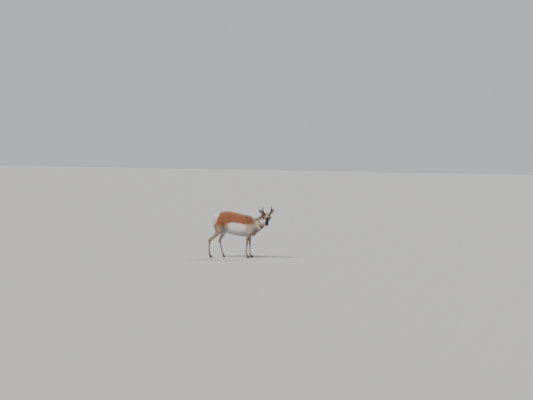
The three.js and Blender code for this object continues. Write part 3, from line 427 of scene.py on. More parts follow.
def mark_tail(paint, points, normals):
    """A tan stripe on the upper side of the white tail."""
    x, y, z = points.T
    side = np.abs(y)
    tail = (1 - smooth(x, -0.445, -0.435)) * smooth(z, 0.68, 0.70) * (side < 0.05)
    stripe = (1 - smooth(side, 0.006, 0.016)) * smooth(-normals[:, 0], 0.3, 0.7)
    paint(0.5 * tail * stripe, np.array(bpy.context.scene.pronghorn_coat.tan))


def nearest_on(points, line):
    """Distance to a broken line, and how far along it, from 0 to 1, the nearest place is."""
    line = np.array(line, float)
    best = np.full(len(points), 1e9)
    place = np.zeros(len(points))
    steps = len(line) - 1
    for i in range(steps):
        d = line[i + 1] - line[i]
        t = np.clip(((points - line[i]) @ d) / (d @ d), 0, 1)
        away = np.linalg.norm(points - line[i] - t[:, None] * d, axis=1)
        nearer = away < best
        best = np.where(nearer, away, best)
        place = np.where(nearer, (i + t) / steps, place)
    return best, place


# Guides: at each place the coat's lie, length and width (millimetres), and how far its tips lift.
def coat_guides():
    """Rows of place, lie, length, width and lift, all over the animal."""
    rows = []

    def guide(at, lie, length, width, lift=0.16):
        rows.append((*at, *unit(lie), length / 1000, width / 1000, lift))

    def both(at, lie, *rest):
        for s in (-1, 1):
            guide((at[0], s * at[1], at[2]), (lie[0], s * lie[1], lie[2]), *rest)

    def on_head(at, lie, length):
        guide(head_place(*at), np.array(lie) @ HEAD_AXES, length, 1.2 + length * 0.09, 0.13)

    body = bpy.context.scene.pronghorn_coat.body_length * 1000
    for x, top in ((-0.3, 0.9), (-0.15, 0.935), (0.0, 0.92), (0.15, 0.885), (0.3, 0.845)):
        guide((x, 0, top), (-1, 0, 0), body, 2.7)
        both((x, 0.12, top - 0.15), (-0.95, 0, -0.32), body, 2.7)
        both((x, 0.12, top - 0.3), (-0.95, 0, -0.25), body * 0.9, 2.6)
        guide((x, 0, 0.46), (-1, 0, 0), body * 0.9, 2.6)
    guide((-0.37, 0, 0.86), (-0.8, 0, -0.6), body * 1.2, 2.8, 0.15)
    both((-0.42, 0.05, 0.78), (-0.35, 0.5, -0.8), body * 1.35, 2.9, 0.15)
    both((-0.40, 0.09, 0.72), (0.1, 0.35, -0.93), body * 1.3, 2.9, 0.15)
    both((-0.30, 0.13, 0.76), (-0.75, 0, -0.65), body, 2.7)
    both((-0.36, 0.12, 0.63), (-0.3, 0, -0.95), body * 0.9, 2.6)
    both((-0.24, 0.13, 0.64), (-0.35, 0, -0.93), body * 0.8, 2.5)
    both((-0.33, 0.03, 0.62), (0, 0, -1), body * 0.8, 2.4)
    guide((-0.455, 0, 0.76), (0, 0, -1), body * 1.1, 2.7, 0.12)
    both((0.34, 0.12, 0.72), (-0.6, 0, -0.8), body * 0.9, 2.6)
    both((0.36, 0.13, 0.6), (-0.35, 0, -0.93), body * 0.8, 2.5)
    both((0.29, 0.12, 0.5), (-0.25, 0, -0.97), body * 0.6, 2.2)
    guide((0.47, 0, 0.6), (0, 0, -1), body, 2.6)
    guide((0.40, 0, 0.46), (-0.8, 0, -0.6), body, 2.6)
    for line in (np.array(CREST), np.array(THROAT)):
        for i in range(1, len(line)):
            guide(line[i], line[i - 1] - line[i], body, 2.6)
    for side, s in SIDES.items():
        for legs, spread in ((FORE_LEGS, 0.08), (HIND_LEGS, 0.086)):
            line = [np.array([px, s * spread, pz]) for px, pz in legs[side]]
            for i in range(3):
                down = line[i + 1] - line[i]
                for part in (0.15, 0.5, 0.85):
                    low = min(i + part, 2)
                    guide(line[i] + down * part, down, 15 - 3.0 * low, 2.3 - 0.3 * low, 0.12)
    for at, lie, length in (
        ((0.03, 0, 0.06), (-1, 0, 0), 14), ((0.08, 0, 0.066), (-1, 0, 0), 11),
        ((0.14, 0, 0.055), (-1, 0, 0), 7.5), ((0.2, 0, 0.037), (-1, 0, 0), 5.5),
        ((0.26, 0, 0.02), (-1, 0, 0), 4.2), ((0.285, 0, 0), (-1, 0, 0.2), 3),
        ((0.27, 0, -0.05), (-1, 0, -0.2), 5), ((0.2, 0, -0.06), (-1, 0, 0), 8),
        ((0.1, 0, -0.085), (-1, 0, 0), 12),
    ):
        on_head(at, lie, length)
    for at, lie, length in (
        ((0.05, 0.058, 0.0), (-1, 0, -0.3), 11), ((0.09, 0.058, -0.04), (-0.8, 0, -0.6), 10),
        ((0.04, 0.05, -0.07), (-0.8, 0, -0.6), 13), ((0.14, 0.045, -0.01), (-0.9, 0, -0.4), 7.5),
        ((0.19, 0.034, -0.02), (-1, 0, -0.2), 6), ((0.25, 0.03, -0.02), (-1, 0, 0.1), 4.5),
        ((0.105, 0.05, 0.055), (-1, 0, 0.3), 6),
    ):
        for s in (-1, 1):
            on_head((at[0], s * at[1], at[2]), (lie[0], s * lie[1], lie[2]), length)
    for side in SIDES:
        root, line, _ = ear_frame(side)
        for t in (0.25, 0.45, 0.65, 0.85, 1.0):
            guide(root + line * EAR_LENGTH * t, line, 8.5 - 4 * t, 1.5 - 0.4 * t, 0.08)
    return np.array(rows)


def coat_lie(points, guides):
    """Lie, length, width and lift of the coat at each point, from the nearest guides."""
    mean = np.zeros((len(points), 6))
    total = np.zeros(len(points))
    for row in guides:
        d2 = ((points - row[:3]) ** 2).sum(1) + 1e-5
        w = 1 / (d2 * d2)
        mean += w[:, None] * row[3:]
        total += w
    mean /= total[:, None]
    return unit(mean[:, :3]), mean[:, 3], mean[:, 4], mean[:, 5]


# Mesh helpers.
def choose(*pieces):
    """Selects these pieces alone and makes the last one active."""
    bpy.ops.object.select_all(action="DESELECT")
    for piece in pieces:
        piece.select_set(True)
    bpy.context.view_layer.objects.active = pieces[-1]


def settle(piece):
    """Leaves the piece at the origin with its place in its mesh."""
    choose(piece)
    bpy.ops.object.transform_apply(location=True, rotation=True, scale=True)


def copy_nodes(names, piece_name, swell=0.0):
    """One object made of merged copies of CAD nodes."""
    copies = []
    for name in names:
        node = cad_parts[name]
        twin = bpy.data.objects.new(f"{name}_copy", node.data.copy())
        bpy.context.collection.objects.link(twin)
        twin.matrix_world = node.matrix_world
        copies.append(twin)
    choose(*copies)
    bpy.ops.object.join()
    piece = bpy.context.view_layer.objects.active
    piece.name = piece_name
    piece.data.name = piece_name
    piece.data.materials.clear()
    settle(piece)
    bpy.ops.object.mode_set(mode="EDIT")
    bpy.ops.mesh.select_all(action="SELECT")
    bpy.ops.mesh.remove_doubles(threshold=0.00002)
    bpy.ops.mesh.normals_make_consistent(inside=False)
    bpy.ops.object.mode_set(mode="OBJECT")
    if swell:
        finish(piece, "DISPLACE", strength=swell, mid_level=0.0)
    return piece


def finish(piece, kind, **settings):
    """Adds a modifier with its settings and applies it."""
    bpy.context.view_layer.objects.active = piece
    modifier = piece.modifiers.new(kind.lower(), kind)
    for key, value in settings.items():
        setattr(modifier, key, value)
    bpy.ops.object.modifier_apply(modifier=modifier.name)


def vertices_of(piece):
    """Places of a piece's vertices."""
    found = np.empty(len(piece.data.vertices) * 3)
    piece.data.vertices.foreach_get("co", found)
    return found.reshape(-1, 3)


def place_vertices(piece, points):
    """Moves a piece's vertices to the given points."""
    piece.data.vertices.foreach_set("co", np.ascontiguousarray(points, np.float32).ravel())
    piece.data.update()


def normals_of(piece):
    """Outward directions at a piece's vertices."""
    found = np.empty(len(piece.data.vertices) * 3, np.float32)
    piece.data.vertex_normals.foreach_get("vector", found)
    return found.reshape(-1, 3).astype(float)


def mesh_from(name, points, faces, colours, uvs):
    """A piece of triangles with a colour and a place on its OFBake map at each vertex."""
    mesh = bpy.data.meshes.new(name)
    mesh.vertices.add(len(points))
    mesh.vertices.foreach_set("co", np.ascontiguousarray(points, np.float32).ravel())
    mesh.loops.add(len(faces) * 3)
    mesh.loops.foreach_set("vertex_index", np.ascontiguousarray(faces, np.int32).ravel())
    mesh.polygons.add(len(faces))
    mesh.polygons.foreach_set("loop_start", np.arange(0, len(faces) * 3, 3, dtype=np.int32))
    mesh.update(calc_edges=True)
    write_colours(mesh, colours)
    layer = mesh.uv_layers.new(name="OFBake")
    layer.data.foreach_set("uv", np.ascontiguousarray(uvs[faces.ravel()], np.float32).ravel())
    piece = bpy.data.objects.new(name, mesh)
    bpy.context.collection.objects.link(piece)
    return piece


def write_colours(mesh, colours, dryness=1.0):
    """Paints each vertex, with its dryness in the fourth channel."""
    layer = mesh.color_attributes.new("coat", "FLOAT_COLOR", "POINT")
    rgba = np.ones((len(colours), 4), np.float32)
    rgba[:, :3] = colours
    rgba[:, 3] = dryness
    layer.data.foreach_set("color", rgba.ravel())


def largest_island(piece):
    """Deletes all but the largest connected surface."""
    mesh = piece.data
    edges = np.empty(len(mesh.edges) * 2, np.int32)
    mesh.edges.foreach_get("vertices", edges)
    edges = edges.reshape(-1, 2)
    label = np.arange(len(mesh.vertices))
    while True:
        low = np.minimum(label[edges[:, 0]], label[edges[:, 1]])
        before = label.copy()
        np.minimum.at(label, edges[:, 0], low)
        np.minimum.at(label, edges[:, 1], low)
        label = label[label]
        if np.array_equal(before, label):
            break
    keep = label == np.bincount(label).argmax()
    if keep.all():
        return
    bpy.context.view_layer.objects.active = piece
    bpy.ops.object.mode_set(mode="EDIT")
    bpy.ops.mesh.select_mode(type="VERT")
    bpy.ops.mesh.select_all(action="DESELECT")
    bpy.ops.object.mode_set(mode="OBJECT")
    mesh.vertices.foreach_set("select", ~keep)
    bpy.ops.object.mode_set(mode="EDIT")
    bpy.ops.mesh.delete(type="VERT")
    bpy.ops.object.mode_set(mode="OBJECT")


# Materials.
def new_material(name, roughness, specular):
    """A material, its node tree and its shader."""
    material = bpy.data.materials.new(name)
    material.use_nodes = True
    shader = material.node_tree.nodes["Principled BSDF"]
    shader.inputs["Roughness"].default_value = roughness
    shader.inputs["Specular IOR Level"].default_value = specular
    return material, material.node_tree, shader


def add_node(tree, kind, values=None, **settings):
    """A new node with its settings and the values of its inputs."""
    node = tree.nodes.new(kind)
    for name, value in settings.items():
        setattr(node, name, value)
    for name, value in (values or {}).items():
        node.inputs[name].default_value = value
    return node


def link(tree, *pairs):
    """Joins each output to its input."""
    for start, end in pairs:
        tree.links.new(start, end)


def strand_group():
    """Node group: fine streaks and soft blotches that vary a colour as hair does."""
    if "HairVariation" in bpy.data.node_groups:
        return bpy.data.node_groups["HairVariation"]
    group = bpy.data.node_groups.new("HairVariation", "ShaderNodeTree")
    group.interface.new_socket("Colour", in_out="INPUT", socket_type="NodeSocketColor")
    group.interface.new_socket("Streak Size", in_out="INPUT", socket_type="NodeSocketFloat")
    group.interface.new_socket("Strength", in_out="INPUT", socket_type="NodeSocketFloat")
    group.interface.new_socket("Colour", in_out="OUTPUT", socket_type="NodeSocketColor")
    group.interface.new_socket("Height", in_out="OUTPUT", socket_type="NodeSocketFloat")
    given = add_node(group, "NodeGroupInput")
    made = add_node(group, "NodeGroupOutput")
    place = add_node(group, "ShaderNodeTexCoord")
    stretch = add_node(group, "ShaderNodeMapping", {"Scale": (0.35, 1.0, 0.8)})
    fine = add_node(group, "ShaderNodeTexNoise", {"Detail": 3.0})
    broad = add_node(group, "ShaderNodeTexNoise", {"Scale": 14.0, "Detail": 2.0})
    both = add_node(group, "ShaderNodeMath", operation="ADD")
    centred = add_node(group, "ShaderNodeMath", {1: 1.0}, operation="SUBTRACT")
    strength = add_node(group, "ShaderNodeMath", {2: 1.0}, operation="MULTIPLY_ADD")
    vary = add_node(group, "ShaderNodeVectorMath", operation="SCALE")
    link(
        group,
        (place.outputs["Object"], stretch.inputs["Vector"]),
        (stretch.outputs["Vector"], fine.inputs["Vector"]),
        (given.outputs["Streak Size"], fine.inputs["Scale"]),
        (place.outputs["Object"], broad.inputs["Vector"]),
        (fine.outputs["Fac"], both.inputs[0]),
        (broad.outputs["Fac"], both.inputs[1]),
        (both.outputs["Value"], centred.inputs[0]),
        (centred.outputs["Value"], strength.inputs[0]),
        (given.outputs["Strength"], strength.inputs[1]),
        (given.outputs["Colour"], vary.inputs[0]),
        (strength.outputs["Value"], vary.inputs["Scale"]),
        (vary.outputs["Vector"], made.inputs["Colour"]),
        (fine.outputs["Fac"], made.inputs["Height"]),
    )
    return group


def painted_base(tree, shader, streak, strength):
    """Feeds the colours painted on the piece, varied as hair is, to the base colour."""
    painted = add_node(tree, "ShaderNodeVertexColor", layer_name="coat")
    varied = add_node(tree, "ShaderNodeGroup", {"Streak Size": streak, "Strength": strength},
                      node_tree=strand_group())
    link(tree, (painted.outputs["Color"], varied.inputs["Colour"]),
         (varied.outputs["Colour"], shader.inputs["Base Color"]))
    return painted, varied


def hair_material(name, streak, strength, bump, roughness=0.72):
    """Hair that takes its colour from the markings painted on the piece."""
    material, tree, shader = new_material(name, roughness, specular=0.2)
    shader.inputs["Sheen Weight"].default_value = 0.03
    shader.inputs["Sheen Roughness"].default_value = 0.5
    painted, varied = painted_base(tree, shader, streak, strength)
    if bump:
        damp = add_node(tree, "ShaderNodeMapRange", {"To Min": 0.36, "To Max": roughness})
        relief = add_node(tree, "ShaderNodeBump", {"Strength": bump, "Distance": 0.0015})
        link(tree, (painted.outputs["Alpha"], damp.inputs["Value"]),
             (damp.outputs["Result"], shader.inputs["Roughness"]),
             (varied.outputs["Height"], relief.inputs["Height"]),
             (relief.outputs["Normal"], shader.inputs["Normal"]))
    return material


def grained_material(name, colour, lighter, scale, stretch, roughness, bump):
    """Horn or hoof: fine grain along its growth, lighter where it is rubbed."""
    material, tree, shader = new_material(name, roughness[0], specular=0.45)
    place = add_node(tree, "ShaderNodeTexCoord")
    along = add_node(tree, "ShaderNodeMapping", {"Scale": stretch})
    grain = add_node(tree, "ShaderNodeTexNoise", {"Scale": scale, "Detail": 5.0})
    shade = add_node(tree, "ShaderNodeValToRGB")
    for stop, position, tone in zip(shade.color_ramp.elements, (0.35, 0.75), (colour, lighter)):
        stop.position = position
        stop.color = (*tone, 1)
    gloss = add_node(tree, "ShaderNodeMapRange", {"To Min": roughness[0], "To Max": roughness[1]})
    relief = add_node(tree, "ShaderNodeBump", {"Strength": bump, "Distance": 0.001})
    link(
        tree,
        (place.outputs["Object"], along.inputs["Vector"]),
        (along.outputs["Vector"], grain.inputs["Vector"]),
        (grain.outputs["Fac"], shade.inputs["Fac"]),
        (grain.outputs["Fac"], gloss.inputs["Value"]),
        (grain.outputs["Fac"], relief.inputs["Height"]),
        (shade.outputs["Color"], shader.inputs["Base Color"]),
        (gloss.outputs["Result"], shader.inputs["Roughness"]),
        (relief.outputs["Normal"], shader.inputs["Normal"]),
    )
    return material


# Tufts.
def tuft_mesh(name, roots, lie, normal, length, width, lift, colours, uv, rings=2, droop=0.0, sink=0.0012,
              flat=0.42, painted_root_shade=0.70, tip_shade=1.12, seed=1):
    """Closed tapered tufts: rings of three corners along a bent line, and a point."""
    rng = np.random.default_rng(seed)
    count = len(roots)
    across = unit(np.cross(normal, lie))
    stations = np.linspace(0, 1, rings + 1)[:-1]
    corners = []
    shades = []
    gravity = np.array([0, 0, -1.0])
    for t in stations:
        # The line rises fast and then levels out, and the tuft narrows towards its tip.
        rise = lift * length * (1.6 * t - 0.75 * t * t)
        centre = roots + lie * (length * t)[:, None] + normal * (rise - sink * (1 - t))[:, None]
        centre = centre + gravity * (droop * length * t * t)[:, None]
        half = width * 0.5 * (1.0 if t == 0 else (1 - t) ** 0.5 * 1.12)
        thick = width * flat * (1 - 0.6 * t)
        corners.append(np.stack([centre - across * half[:, None], centre + normal * thick[:, None],
                                 centre + across * half[:, None]], 1))
        # Painted shade: each tuft is darker at its root, deep in the coat, and lighter towards its tip.
        shades.append(painted_root_shade + (tip_shade - painted_root_shade) * t ** 0.7)
    tip = roots + lie * length[:, None] + normal * (lift * length * 0.85)[:, None]
    tip = tip + gravity * (droop * length)[:, None] + across * (rng.normal(0, 0.25, count) * width)[:, None]
    per = 3 * len(stations) + 1
    points = np.concatenate([*corners, tip[:, None]], 1).reshape(-1, 3)
    pattern = [(0, 1, 2)]
    for r in range(len(stations) - 1):
        for i in range(3):
            a, b = 3 * r + i, 3 * r + (i + 1) % 3
            pattern += [(a, b + 3, b), (a, a + 3, b + 3)]
    last = 3 * (len(stations) - 1)
    pattern += [(last + i, per - 1, last + (i + 1) % 3) for i in range(3)]
    faces = (np.arange(count)[:, None, None] * per + np.array(pattern)[None]).reshape(-1, 3)
    shade = np.concatenate([np.repeat(shades, 3), [tip_shade]])
    tint = np.exp(rng.normal(0, 0.09, (count, 1, 1)))
    painted = np.clip(colours[:, None] * shade[None, :, None] * tint, 0, 1).reshape(-1, 3)
    corner_uv = np.array([(0.0, 0.0), (0.0010, 0.0), (0.0, 0.0010)])
    spread = np.concatenate([corner_uv + 0.0005 * r for r in range(len(stations))] + [[(0.0015, 0.0015)]])
    uvs = np.repeat(uv, per, 0) + np.tile(spread, (count, 1))
    return mesh_from(name, points, faces, painted, np.clip(uvs, 0, 0.9999))


def scatter(piece, count, density, seed):
    """Evenly spread places on the skin: point, normal, map place."""
    mesh = piece.data
    mesh.calc_loop_triangles()
    n = len(mesh.loop_triangles)
    corner = np.empty(n * 3, np.int32)
    mesh.loop_triangles.foreach_get("vertices", corner)
    corner = corner.reshape(-1, 3)
    loops = np.empty(n * 3, np.int32)
    mesh.loop_triangles.foreach_get("loops", loops)
    loops = loops.reshape(-1, 3)
    points = vertices_of(piece)
    normals = normals_of(piece)
    flat = np.empty(len(mesh.loops) * 2, np.float32)
    mesh.uv_layers.active.data.foreach_get("uv", flat)
    uv = flat.reshape(-1, 2).astype(float)
    tri = points[corner]
    area = np.linalg.norm(np.cross(tri[:, 1] - tri[:, 0], tri[:, 2] - tri[:, 0]), axis=1) / 2
    centre = tri.mean(1)
    weight = area * density(centre)
    # Triangles in order of their cell, so that even steps along the order spread over the skin.
    key = np.zeros(n, np.int64)
    cell = np.floor((centre - centre.min(0)) / TUFT_CELL).astype(np.int64)
    for bit in range(9):
        for axis in range(3):
            key |= ((cell[:, axis] >> bit) & 1) << (3 * bit + axis)
    order = np.argsort(key, kind="stable")
    total = np.cumsum(weight[order])
    rng = np.random.default_rng(seed)
    marks = (np.arange(count) + rng.uniform(0.1, 0.9, count)) / count * total[-1]
    chosen = order[np.minimum(np.searchsorted(total, marks), n - 1)]
    r1, r2 = rng.random(count), rng.random(count)
    r1 = np.sqrt(r1)
    bary = np.stack([1 - r1, r1 * (1 - r2), r1 * r2], 1)
    at = (points[corner[chosen]] * bary[:, :, None]).sum(1)
    normal = unit((normals[corner[chosen]] * bary[:, :, None]).sum(1))
    place = (uv[loops[chosen]] * bary[:, :, None]).sum(1)
    return at, normal, place


def along_skin(lie, normal, rng, spread):
    """The lie laid in the skin's own plane, with a little scatter."""
    across = np.cross(normal, lie)
    turned = lie + unit(across) * rng.normal(0, spread, (len(lie), 1))
    turned -= (turned * normal).sum(1, keepdims=True) * normal
    return unit(turned)


# Operators.
class PRONGHORN_OT_skin(bpy.types.Operator):
    """One skin over trunk, neck, head, ears, tail and legs, without seams"""

    bl_idname = "pronghorn.skin"
    bl_label = "Skin"

    def execute(self, context):
        ears = copy_nodes(["ear_right", "ear_left"], "ears_thick", swell=0.0011)
        skin = copy_nodes([name for name in FLESH if not name.startswith("ear")], "skin", swell=0.0004)
        choose(ears, skin)
        bpy.ops.object.join()
        skin.name = "skin"
        grid = VOXEL
        finish(skin, "REMESH", mode="VOXEL", voxel_size=grid, adaptivity=0.0)
        largest_island(skin)
        points = vertices_of(skin) - SHIFT
        calm = 1 - 0.75 * self.detail(points)
        calm *= 1 - 0.35 * (1 - smooth(points[:, 2], 0.12, 0.4))
        self.weigh(skin, "calm", calm)
        finish(skin, "SMOOTH", factor=0.5, iterations=12, vertex_group="calm")
        finish(skin, "SMOOTH", factor=0.5, iterations=1)
        self.weigh(skin, "fine", self.detail(vertices_of(skin) - SHIFT))
        triangles = 2 * len(skin.data.polygons)
        if triangles > SKIN_LIMIT:
            finish(skin, "DECIMATE", ratio=SKIN_LIMIT / triangles, vertex_group="fine",
                   invert_vertex_group=True, vertex_group_factor=2.0)
        self.sink(skin, context.scene.pronghorn_coat.depth)
        skin.vertex_groups.clear()
        choose(skin)
        bpy.ops.object.shade_smooth()
        bpy.ops.object.mode_set(mode="EDIT")
        bpy.ops.mesh.select_all(action="SELECT")
        bpy.ops.uv.smart_project(angle_limit=math.radians(75), island_margin=0.002)
        bpy.ops.object.mode_set(mode="OBJECT")
        skin.data.uv_layers.active.name = "OFBake"
        self.paint(skin)
        skin.data.materials.append(
            hair_material("coat_underfur", streak=900.0, strength=0.35, bump=0.5, roughness=0.85))
        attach(skin, "root")
        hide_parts(*FLESH)
        return {"FINISHED"}

    def detail(self, points):
        """1 on the head, whose forms are fine, and 0 elsewhere."""
        head = into_head(points)
        return smooth(head[:, 0], -0.02, 0.03) * (np.linalg.norm(head, axis=1) < HEAD_REACH)

    def weigh(self, skin, name, weights):
        """A vertex group in steps of a tenth."""
        group = skin.vertex_groups.new(name=name)
        steps = np.round(weights, 1)
        for level in np.unique(steps):
            group.add(np.flatnonzero(steps == level).tolist(), float(level), "REPLACE")

    def sink(self, skin, depth):
        """Lays the skin under the coat, and shapes lips, nostrils and folds."""
        world = vertices_of(skin)
        points = world - SHIFT
        head = into_head(points)
        a, l, u = head.T
        on_head = smooth(a, -0.03, 0.04) * (np.linalg.norm(head, axis=1) < HEAD_REACH)
        thin = np.maximum(on_head, 1 - smooth(points[:, 2], 0.38, 0.52))
        inward = depth * (1 - thin) + THIN_COAT * thin
        lips = np.exp(-(((u - mouth_line(a)) / 0.0028) ** 2)) * smooth(a, 0.215, 0.23)
        inward += LIP_GROOVE * lips * on_head
        for s in (-1, 1):
            nostril = np.sqrt(((a - 0.283) / 0.011) ** 2 + ((l - s * 0.0185) / 0.006) ** 2
                              + ((u + 0.002) / 0.007) ** 2)
            inward += NOSTRIL_DEPTH * (1 - smooth(nostril, 0.3, 1.1)) * on_head
            tear = np.sqrt(((a - 0.135) / 0.016) ** 2 + ((u - 0.008) / 0.005) ** 2) + (l * s < 0.02) * 9
            inward += TEAR_DEPTH * (1 - smooth(tear, 0.2, 1.0)) * on_head
        place_vertices(skin, world - normals_of(skin) * inward[:, None])

    def paint(self, skin):
        """The coat's markings, painted darker as shade under the hair, most on the legs, and damp on the
        nose.
        """
        points = vertices_of(skin) - SHIFT
        # Painted shade: the skin under the tufts is darker than the hair, darker still on the legs to match
        # their shaded tufts.
        shade = 0.84 - 0.24 * (1 - smooth(points[:, 2], 0.38, 0.50))
        # The skin is also painted darker round the ears.
        for side in SIDES:
            shade -= 0.22 * (1 - smooth(from_ear(points, side), 0.07, 0.09))
        dryness = smooth(nose_pad(into_head(points)), 0.85, 1.0)
        write_colours(skin.data, marking_colours(points, normals_of(skin)) * shade[:, None], dryness)


class PRONGHORN_OT_horns(bpy.types.Operator):
    """Both horns, with ridged bases and polished tips"""

    bl_idname = "pronghorn.horns"
    bl_label = "Horns"

    def execute(self, context):
        settings = context.scene.pronghorn_horn
        material = grained_material("horn_sheath", tuple(settings.horn), SHADES["rubbed_horn"], scale=60.0,
                                    stretch=(3.0, 3.0, 0.35), roughness=(0.34, 0.62), bump=0.55)
        for side in SIDES:
            horn = copy_nodes([f"horn_{side}"], f"horn_sheath_{side}")
            finish(horn, "REMESH", mode="VOXEL", voxel_size=HORN_VOXEL)
            largest_island(horn)
            finish(horn, "SMOOTH", factor=0.5, iterations=8)
            points = vertices_of(horn)
            low, high = points[:, 2].min(), points[:, 2].max()
            t = (points[:, 2] - low) / (high - low)
            local = points - SHIFT
            grain = lattice_noise(local * np.array([1, 1, 0.12]), size=0.0045, seed=21)
            knobs = lattice_noise(local, size=0.011, seed=22) * (1 - smooth(t, 0.25, 0.6))
            rise = HORN_GRAIN * grain * (1 - smooth(t, 0.7, 0.95)) + HORN_KNOBS * knobs
            place_vertices(horn, points + normals_of(horn) * (HORN_SWELL + rise)[:, None])
            choose(horn)
            bpy.ops.object.shade_smooth()
            horn.data.materials.append(material)
            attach(horn, "root")
            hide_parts(f"horn_{side}")
        return {"FINISHED"}


def eye_axes(s):
    """Gaze of an eye, the long axis of its lids, and the upward one."""
    gaze = unit(np.array([0.36, s * 0.92, 0.1]) @ HEAD_AXES)
    along = unit(np.array([1, -s * 0.38, -0.16]) @ HEAD_AXES)
    along = unit(along - along.dot(gaze) * gaze)
    return gaze, along, np.cross(gaze, along) * s


class PRONGHORN_OT_eyes(bpy.types.Operator):
    """Eyeballs, dark lid rims and lashes"""

    bl_idname = "pronghorn.eyes"
    bl_label = "Eyes and lids"

    def execute(self, context):
        ball_material = self.eye_material()
        rim_material, _, shader = new_material("lid_rim", roughness=0.5, specular=0.25)
        shader.inputs["Base Color"].default_value = (*SHADES["lid"], 1)
        for side, s in SIDES.items():
            low, high = (np.array(c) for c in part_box(f"eye_{side}"))
            radius = (high - low).max() / 2
            self.ball(side, s, radius, ball_material)
            self.rim(side, s, radius, rim_material)
            self.lashes(side, s, radius, rim_material)
        return {"FINISHED"}

    def eye_material(self):
        """A dark, wet eye."""
        material, tree, shader = new_material("eye_wet", roughness=0.05, specular=0.3)
        shader.inputs["Coat Weight"].default_value = 0.2
        shader.inputs["Coat Roughness"].default_value = 0.02
        painted_base(tree, shader, streak=700.0, strength=0.4)
        return material

    def ball(self, side, s, radius, material):
        """The eyeball, with a bulge over the iris and a long pupil."""
        centre, gaze = EYES[side], eye_axes(s)[0]
        bpy.ops.object.select_all(action="DESELECT")
        bpy.ops.mesh.primitive_uv_sphere_add(segments=56, ring_count=36, radius=radius - EYE_GAP,
                                             location=centre)
        ball = bpy.context.object
        ball.name = f"eyeball_{side}"
        settle(ball)
        bpy.ops.object.shade_smooth()
        points = vertices_of(ball)
        offset = unit(points - centre)
        facing = offset @ gaze
        bulge = EYE_BULGE * smooth(facing, 0.82, 0.97)
        place_vertices(ball, points + offset * bulge[:, None])
        iris = np.array(bpy.context.scene.pronghorn_horn.eye)
        across = unit(np.cross(gaze, UP))
        pupil = np.sqrt(((offset @ across) / 0.42) ** 2 + ((offset @ UP) / 0.24) ** 2)
        beyond = smooth(pupil, 0.9, 1.1)[:, None]
        shade = beyond * iris + (1 - beyond) * 0.003
        behind = smooth(-facing, -0.62, -0.5)[:, None]
        write_colours(ball.data, shade * (1 - behind) + 0.02 * behind)
        ball.data.materials.append(material)
        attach(ball, "root")
        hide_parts(f"eye_{side}")

    def lid_line(self, side, s, radius, turn, outset):
        """Places round the almond of the lids, on a sphere a little larger than the eyeball."""
        gaze, along, upward = eye_axes(s)
        half_width, half_height = LID_OPENING
        wide = half_width * np.cos(turn)
        # The opening narrows towards its corners.
        tall = half_height * np.sin(turn) * (1 - 0.42 * np.cos(turn) ** 2) - LID_SLANT * np.cos(turn)
        p = gaze * radius + wide[:, None] * along + tall[:, None] * upward
        return EYES[side] + unit(p) * (radius + outset)

    def outward(self, side, s, line):
        """Directions away from the gaze at places on the lids."""
        gaze, offset = eye_axes(s)[0], line - EYES[side]
        return unit(offset - (offset @ gaze)[:, None] * gaze)

    def rim(self, side, s, radius, material):
        """The dark edge of the lids, heavier above."""
        bpy.ops.object.select_all(action="DESELECT")
        bpy.ops.mesh.primitive_torus_add(major_segments=56, minor_segments=10, major_radius=RIM_RING,
                                         minor_radius=RIM_THICKNESS)
        rim = bpy.context.object
        rim.name = f"lid_rim_{side}"
        points = vertices_of(rim)
        turn = np.arctan2(points[:, 1], points[:, 0])
        out = np.hypot(points[:, 0], points[:, 1]) - RIM_RING
        line = self.lid_line(side, s, radius, turn, 0.0003)
        heavy = 1 + 0.55 * smooth(np.sin(turn), 0.0, 0.8)
        sideways = self.outward(side, s, line) * (out * heavy)[:, None]
        place_vertices(rim, line + sideways + unit(line - EYES[side]) * (points[:, 2] * heavy)[:, None])
        bpy.ops.object.mode_set(mode="EDIT")
        bpy.ops.mesh.select_all(action="SELECT")
        bpy.ops.mesh.normals_make_consistent(inside=False)
        bpy.ops.object.mode_set(mode="OBJECT")
        bpy.ops.object.shade_smooth()
        rim.data.materials.append(material)
        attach(rim, "root")

    def lashes(self, side, s, radius, material):
        """Lashes along the upper lid."""
        rng = np.random.default_rng(40 + int(s))
        turn = np.linspace(0.1, 0.93, LASHES) * math.pi + rng.normal(0, 0.01, LASHES)
        roots = self.lid_line(side, s, radius, turn, 0.0014)
        outward = self.outward(side, s, roots)
        lie = unit(eye_axes(s)[0] * 0.75 + outward * 0.65 + rng.normal(0, 0.07, (LASHES, 3)))
        normal = unit(np.cross(lie, np.cross(outward, lie)))
        length = 0.012 + 0.006 * np.sin(turn) + rng.normal(0, 0.0015, LASHES)
        lashes = tuft_mesh(f"lashes_{side}", roots, lie, normal, length, width=np.full(LASHES, 0.0006),
                           lift=np.full(LASHES, 0.25), colours=np.full((LASHES, 3), 0.015),
                           uv=np.zeros((LASHES, 2)), rings=3, flat=0.8, sink=0.0005, seed=44)
        lashes.data.materials.append(material)
        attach(lashes, "root")


class PRONGHORN_OT_hooves(bpy.types.Operator):
    """Four cloven hooves with growth rings"""

    bl_idname = "pronghorn.hooves"
    bl_label = "Hooves"

    def execute(self, context):
        settings = context.scene.pronghorn_horn
        material = grained_material("hoof_horn", tuple(settings.hoof), SHADES["rubbed_hoof"], scale=45.0,
                                    stretch=(1.0, 1.0, 5.0), roughness=(0.42, 0.7), bump=0.4)
        for limb in ("fore", "hind"):
            for side in SIDES:
                nodes = [f"hoof_{limb}_{side}_{toe}" for toe in ("inner", "outer")]
                hoof = copy_nodes(nodes, f"hooves_{limb}_{side}")
                finish(hoof, "BEVEL", width=0.0012, segments=2, limit_method="ANGLE",
                       angle_limit=math.radians(40))
                choose(hoof)
                bpy.ops.object.shade_smooth_by_angle(angle=math.radians(42))
                hoof.data.materials.append(material)
                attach(hoof, "root")
                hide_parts(*nodes)
        return {"FINISHED"}


